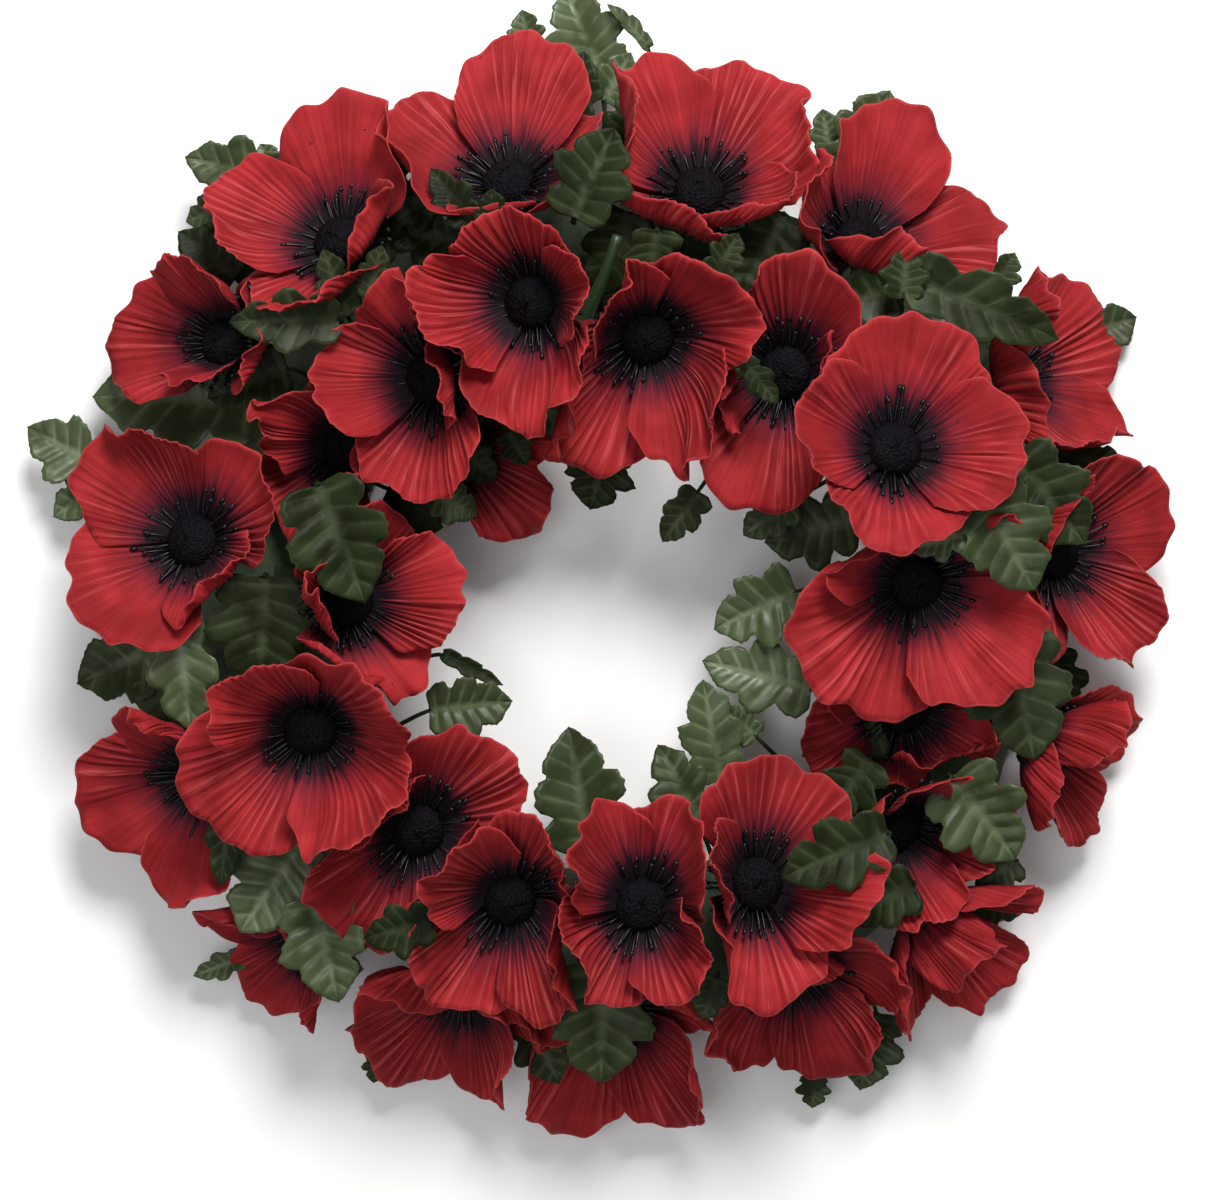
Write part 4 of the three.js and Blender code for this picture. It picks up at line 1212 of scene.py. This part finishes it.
def leaf_stem(cloth, blade, settings):
    """A low leaf's stem runs from the ring to the blade, and a high one's is hidden but for its end."""
    clock, reach, lift, heading, pitch, _, length, *_ = blade
    base = polar(clock, reach * MM, lift * MM)
    along = leaning(heading, 90 - pitch)
    if lift < HIGH_LEAF:
        root = polar(clock, RING_RADIUS, STEM_DEPTH)
        bend = min(0.15 * length, 6)
    else:
        root = base - np.array([0, 0, STEM_END])
        bend = 1
    path = bend_between(root, base - along * bend * MM, base + along * 1.5 * MM, len(LEAF_STEM_TAPER))
    path[:, 2] = np.maximum(path[:, 2], 2.5 * MM)
    radii = settings.stem_radius * np.array(LEAF_STEM_TAPER)
    cloth.tube(path, radii, 8, {"tone": 0.1, "vein": 0.3, "rim": 0.0})


def leaf_piece(name, blades, seed, settings, material, fine):
    """One leaf spray or small leaf: its blades and their stems."""
    generator = np.random.default_rng(seed)
    cloth = Cloth(["tone", "vein", "rim"])
    for blade in blades:
        blade_sheet(cloth, blade, generator, settings, fine)
        leaf_stem(cloth, blade, settings)
    return cloth.object(name, material, "leaf")


# ---- Ring and sleeve ----


def ring_section(grow):
    """Points of the ring's half-oval section, anticlockwise, as (outwards, up) from its own middle."""
    angle = np.linspace(0, math.pi, RING_SIDES)
    outwards = (RING_WIDTH / 2 + grow) * np.cos(angle)
    up = np.maximum((RING_HEIGHT - 1.5 * MM + grow) * np.sin(angle), 0) + 0.9 * MM - grow
    flat = np.linspace(outwards[-1], outwards[0], FLAT_STEPS + 2)[1:-1]
    level = np.full(FLAT_STEPS, up[0])
    return np.stack([np.concatenate([outwards, flat]), np.concatenate([up, level])], axis=-1)


def closed_loop(name, points, material):
    """A mesh object from a grid of points that closes on itself both ways."""
    rows, columns = points.shape[:2]
    number = np.arange(rows * columns).reshape(rows, columns)
    ahead, beside = np.roll(number, -1, axis=0), np.roll(number, -1, axis=1)
    faces = np.stack([number, ahead, np.roll(ahead, -1, axis=1), beside], axis=-1).reshape(-1, 4)
    cloth = Cloth([])
    cloth.take(points, faces, np.zeros((rows * columns, 2)), {})
    return cloth.object(name, material, "ring")


def ring_core(material):
    """The ring under its tape."""
    outline = ring_section(-CORE_INSET)
    turns = np.linspace(0, 2 * math.pi, RING_STEPS, endpoint=False)
    reach = RING_RADIUS + outline[:, 0]
    points = np.stack([reach * np.cos(turns)[:, None], reach * np.sin(turns)[:, None],
                       np.broadcast_to(outline[:, 1], (RING_STEPS, len(outline)))], axis=-1)
    return closed_loop("ring_core", points, material)


def tape_turn(width, material):
    """One closed turn of tape round the ring's section, centred on the ring's own middle line."""
    inside, outside = ring_section(0.0), ring_section(TAPE_THICKNESS)
    half = width / 2
    corners = ((outside, -half), (outside, half), (inside, half), (inside, -half))
    points = np.stack([
        np.stack([outline[:, 0], np.full(len(outline), edge), outline[:, 1]], axis=-1)
        for outline, edge in corners])
    turn = closed_loop("ring_tape", points, material)
    turn.data.transform(Matrix.Translation(-Vector(RING_CENTRE)))
    return turn


def tape_tree():
    """Copies one turn of tape round a circle, each a little askew, as it is wound."""
    group, tree, given = node_group("tape_turns", {
        "Turns": "Int", "Radius": "Float", "Seed": "Int", "Skew": "Float", "Material": "Material",
        "Centre": "Vector"})
    spots = tree.node("GeometryNodeMeshCircle", sockets={
        "Vertices": given.output("Turns"), "Radius": given.output("Radius")})
    angle = tree.node("ShaderNodeSeparateXYZ", sockets={0: tree.node("GeometryNodeInputPosition")})
    heading = tree.math("ARCTAN2", angle.output("Y"), angle)
    askew = given.output("Skew") + tree.random(given.output("Seed"), -TAPE_UNEVENNESS, TAPE_UNEVENNESS)
    placed = tree.node("GeometryNodeInstanceOnPoints", sockets={
        "Points": spots, "Instance": given, "Rotation": tree.vector(0.0, 0.0, heading + askew)})
    moved = tree.node("GeometryNodeTransform", sockets={
        "Geometry": placed, "Translation": given.output("Centre")})
    tree.node("NodeGroupOutput", sockets={"Geometry": tree.made_real(moved, given.output("Material"))})
    return group


def sleeve_piece(plastic):
    """The moulded sleeve on the stem that shows between two flowers, with a toothed lower end."""
    top, foot = np.array(SLEEVE_TOP) * MM, np.array(SLEEVE_FOOT) * MM
    cloth = Cloth([])
    path = bend_between(top, (top + foot) / 2 + np.array(SLEEVE_BULGE) * MM, foot, len(SLEEVE_RADII))
    cloth.tube(path, np.array(SLEEVE_RADII) * MM, 14, {})
    ahead = unit(foot - top)
    side = unit(np.cross(ahead, (0, 0, 1)))
    other = np.cross(ahead, side)
    for angle in np.linspace(0, 2 * math.pi, SLEEVE_TEETH, endpoint=False):
        out = side * math.cos(angle) + other * math.sin(angle)
        start = foot + out * 2.7 * MM - ahead * 1.5 * MM
        middle = start + ahead * 2.4 * MM + out * 0.6 * MM
        tip = start + ahead * 4.6 * MM + out * 1.6 * MM
        cloth.tube([start, middle, tip], np.array([0.9, 0.7, 0.15]) * MM, 6, {})
    finish_piece(cloth.object("stem_sleeve", plastic, "round"), "stem_plastic")


# ---- Drops ----


def drop_tree():
    """Scatters small clear drops on upward faces."""
    group, tree, given = node_group("clear_drops", {
        "Density": "Float", "Radius": "Float", "Seed": "Int", "Facing": "Float", "Material": "Material"})
    seed = given.output("Seed")
    normal = tree.node("ShaderNodeSeparateXYZ", sockets={0: tree.node("GeometryNodeInputNormal")})
    is_up = tree.node("FunctionNodeCompare", {"data_type": "FLOAT", "operation": "GREATER_THAN"}, {
        0: normal.output("Z"), 1: given.output("Facing")})
    spots = tree.node("GeometryNodeDistributePointsOnFaces", sockets={
        "Mesh": given, "Selection": is_up, "Density": given.output("Density"), "Seed": seed})
    ball = tree.node("GeometryNodeMeshIcoSphere", sockets={
        "Radius": given.output("Radius"), "Subdivisions": 2})
    size = tree.random(seed + 1, 0.45, 1.0)
    placed = tree.node("GeometryNodeInstanceOnPoints", sockets={
        "Points": spots, "Instance": ball, "Rotation": spots.output("Rotation"),
        "Scale": tree.vector(size, size, size * 0.8)})
    tree.node("NodeGroupOutput", sockets={"Geometry": tree.made_real(placed, given.output("Material"))})
    return group


def drops_piece(settings, material):
    """Drops on the petals of some of the poppies."""
    cloths = [bpy.data.objects[f"poppy_{two_digits(number)}_petals"].data for number in DROP_POPPIES]
    points, faces, start = [], [], 0
    for mesh in cloths:
        coordinates = np.empty(3 * len(mesh.vertices), np.float32)
        mesh.vertices.foreach_get("co", coordinates)
        points.append(coordinates.reshape(-1, 3))
        corners = np.empty(len(mesh.loops), np.int32)
        mesh.loops.foreach_get("vertex_index", corners)
        faces.append(corners.reshape(-1, 4) + start)
        start += len(mesh.vertices)
    wet = bpy.data.meshes.new("clear_drops")
    wet.from_pydata(np.concatenate(points).tolist(), [], np.concatenate(faces).tolist())
    piece = bpy.data.objects.new("clear_drops", wet)
    bpy.context.scene.collection.objects.link(piece)
    dress_with_nodes(piece, drop_tree(), {
        "Density": settings.amount, "Radius": settings.radius, "Seed": DROP_SEED, "Facing": DROP_FACING,
        "Material": material})
    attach(piece, BODY)


# ---- Stage ----


def area_lamp(target, name, place, size, power, tint):
    """A round soft lamp that shines on the target."""
    light = bpy.data.lights.new(name, "AREA")
    light.shape = "DISK"
    light.size = size
    light.energy = power
    light.color = tint
    lamp = bpy.data.objects.new(name, light)
    lamp.location = place
    lamp.rotation_mode = "QUATERNION"
    lamp.rotation_quaternion = (Vector(target) - Vector(place)).to_track_quat("-Z", "Y")
    bpy.context.scene.collection.objects.link(lamp)


def build_stage(settings):
    """A plain floor, a white sky, two lamps and the camera that looks straight down on the wreath."""
    scene = bpy.context.scene
    corners = ((-1, -1), (1, -1), (1, 1), (-1, 1))
    mesh = bpy.data.meshes.new("floor")
    mesh.from_pydata([(x * FLOOR_HALF_SIZE, y * FLOOR_HALF_SIZE, FLOOR_LEVEL) for x, y in corners], [],
                     [(0, 1, 2, 3)])
    mesh.materials.append(floor_material(settings))
    floor = bpy.data.objects.new("floor", mesh)
    scene.collection.objects.link(floor)
    world = bpy.data.worlds.new("studio")
    world.use_nodes = True
    backdrop = world.node_tree.nodes["Background"]
    backdrop.inputs["Color"].default_value = WHITE
    backdrop.inputs["Strength"].default_value = SKY_STRENGTH
    scene.world = world
    for lamp in LAMPS:
        area_lamp((RING_CENTRE[0], RING_CENTRE[1], LAMP_TARGET_LEVEL), *lamp)
    scene.view_settings.view_transform = "Standard"
    camera = bpy.data.cameras.new("camera")
    camera.sensor_width = SENSOR_WIDTH
    camera.lens = SENSOR_WIDTH * settings.height / settings.span
    camera.clip_start = 0.01
    view = bpy.data.objects.new("camera", camera)
    view.location = (RING_CENTRE[0] + CAMERA_SIDEWAYS, RING_CENTRE[1], FLOWER_LEVEL + settings.height)
    scene.collection.objects.link(view)
    scene.camera = view


# ---- Operators and panel ----


class WREATH_OT_petals(bpy.types.Operator):
    """Make the petals of every poppy"""

    bl_idname = "wreath.petals"
    bl_label = "Petals"

    def execute(self, context):
        settings = context.scene.wreath.petals
        material = petal_material(settings)
        for poppy in make_poppies():
            poppy_petals(poppy, settings, material)
        return {"FINISHED"}


class WREATH_OT_centres(bpy.types.Operator):
    """Make the pip and the stamens of every poppy"""

    bl_idname = "wreath.centres"
    bl_label = "Centres"

    def execute(self, context):
        settings = context.scene.wreath.centres
        flock, black = pip_material(settings), stamen_material(settings)
        group = stamen_tree()
        for poppy in make_poppies():
            poppy_centre(poppy, group, settings, flock, black)
        return {"FINISHED"}


class WREATH_OT_stems(bpy.types.Operator):
    """Make the calyx and the stem of every poppy, and the sleeve on the one that shows"""

    bl_idname = "wreath.stems"
    bl_label = "Stems"

    def execute(self, context):
        plastic = plastic_material(context.scene.wreath.ring)
        for poppy in make_poppies():
            poppy_stem(poppy, plastic)
        sleeve_piece(plastic)
        return {"FINISHED"}


class WREATH_OT_leaves(bpy.types.Operator):
    """Make the leaf sprays and the small leaves between the flowers"""

    bl_idname = "wreath.leaves"
    bl_label = "Leaves"

    def execute(self, context):
        settings = context.scene.wreath.leaves
        material = leaf_material(settings)
        for i, blades in enumerate(LEAF_SPRAYS):
            name = "leaf_spray_" + two_digits(i + 1)
            piece = leaf_piece(name + "_cloth", blades, SPRAY_SEED + i, settings, material, True)
            finish_piece(piece, "leaf_fabric", name)
        for i, (x, y, lift, *rest) in enumerate(SMALL_LEAVES):
            blade = (math.degrees(math.atan2(y, x)), math.hypot(x, y), lift, *rest)
            name = "small_leaf_" + two_digits(i + 1)
            piece = leaf_piece(name, [blade], SMALL_LEAF_SEED + i, settings, material, False)
            finish_piece(piece, "leaf_fabric")
        return {"FINISHED"}


class WREATH_OT_ring(bpy.types.Operator):
    """Make the ring and wind the tape round it"""

    bl_idname = "wreath.ring"
    bl_label = "Ring"

    def execute(self, context):
        settings = context.scene.wreath.ring
        material = tape_material(settings)
        finish_piece(ring_core(material), "ring_base", "ring_base")
        tape = tape_turn(settings.tape_width, material)
        dress_with_nodes(tape, tape_tree(), {
            "Turns": settings.tape_turns, "Radius": RING_RADIUS, "Seed": TAPE_SEED,
            "Skew": math.radians(TAPE_SKEW), "Material": material, "Centre": tuple(RING_CENTRE)})
        finish_piece(tape, "ring_base")
        return {"FINISHED"}


class WREATH_OT_drops(bpy.types.Operator):
    """Scatter clear drops over some of the poppies"""

    bl_idname = "wreath.drops"
    bl_label = "Drops"

    def execute(self, context):
        if "poppy_01_petals" not in bpy.data.objects:
            raise RuntimeError("make the petals before the drops")
        drops_piece(context.scene.wreath.drops, drop_material())
        return {"FINISHED"}


class WREATH_OT_stage(bpy.types.Operator):
    """Set the floor, the lights and the camera"""

    bl_idname = "wreath.stage"
    bl_label = "Stage"

    def execute(self, context):
        build_stage(context.scene.wreath.stage)
        return {"FINISHED"}


STEPS = (
    WREATH_OT_ring, WREATH_OT_petals, WREATH_OT_centres, WREATH_OT_stems, WREATH_OT_leaves, WREATH_OT_drops,
    WREATH_OT_stage,
)


class WREATH_PT_panel(bpy.types.Panel):
    """The wreath's steps and settings"""

    bl_label = "Poppy Wreath"
    bl_idname = "WREATH_PT_panel"
    bl_space_type = "VIEW_3D"
    bl_region_type = "UI"
    bl_category = "Wreath"

    def draw(self, context):
        for step in STEPS:
            self.layout.operator(step.bl_idname)
        wreath = context.scene.wreath
        for group in (wreath.petals, wreath.centres, wreath.leaves, wreath.ring, wreath.drops, wreath.stage):
            box = self.layout.box()
            for name in type(group).__annotations__:
                box.prop(group, name)


CLASSES = (
    PetalSettings, CentreSettings, LeafSettings, RingSettings, DropSettings, StageSettings, WreathSettings,
    *STEPS, WREATH_PT_panel,
)


def register():
    for cls in CLASSES:
        bpy.utils.register_class(cls)
    bpy.types.Scene.wreath = bpy.props.PointerProperty(type=WreathSettings)


def unregister():
    del bpy.types.Scene.wreath
    for cls in reversed(CLASSES):
        bpy.utils.unregister_class(cls)


def main():
    register()
    bpy.ops.wreath.ring()
    bpy.ops.wreath.petals()
    bpy.ops.wreath.centres()
    bpy.ops.wreath.stems()
    bpy.ops.wreath.leaves()
    bpy.ops.wreath.drops()
    bpy.ops.wreath.stage()
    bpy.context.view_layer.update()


if __name__ == "__main__":
    main()
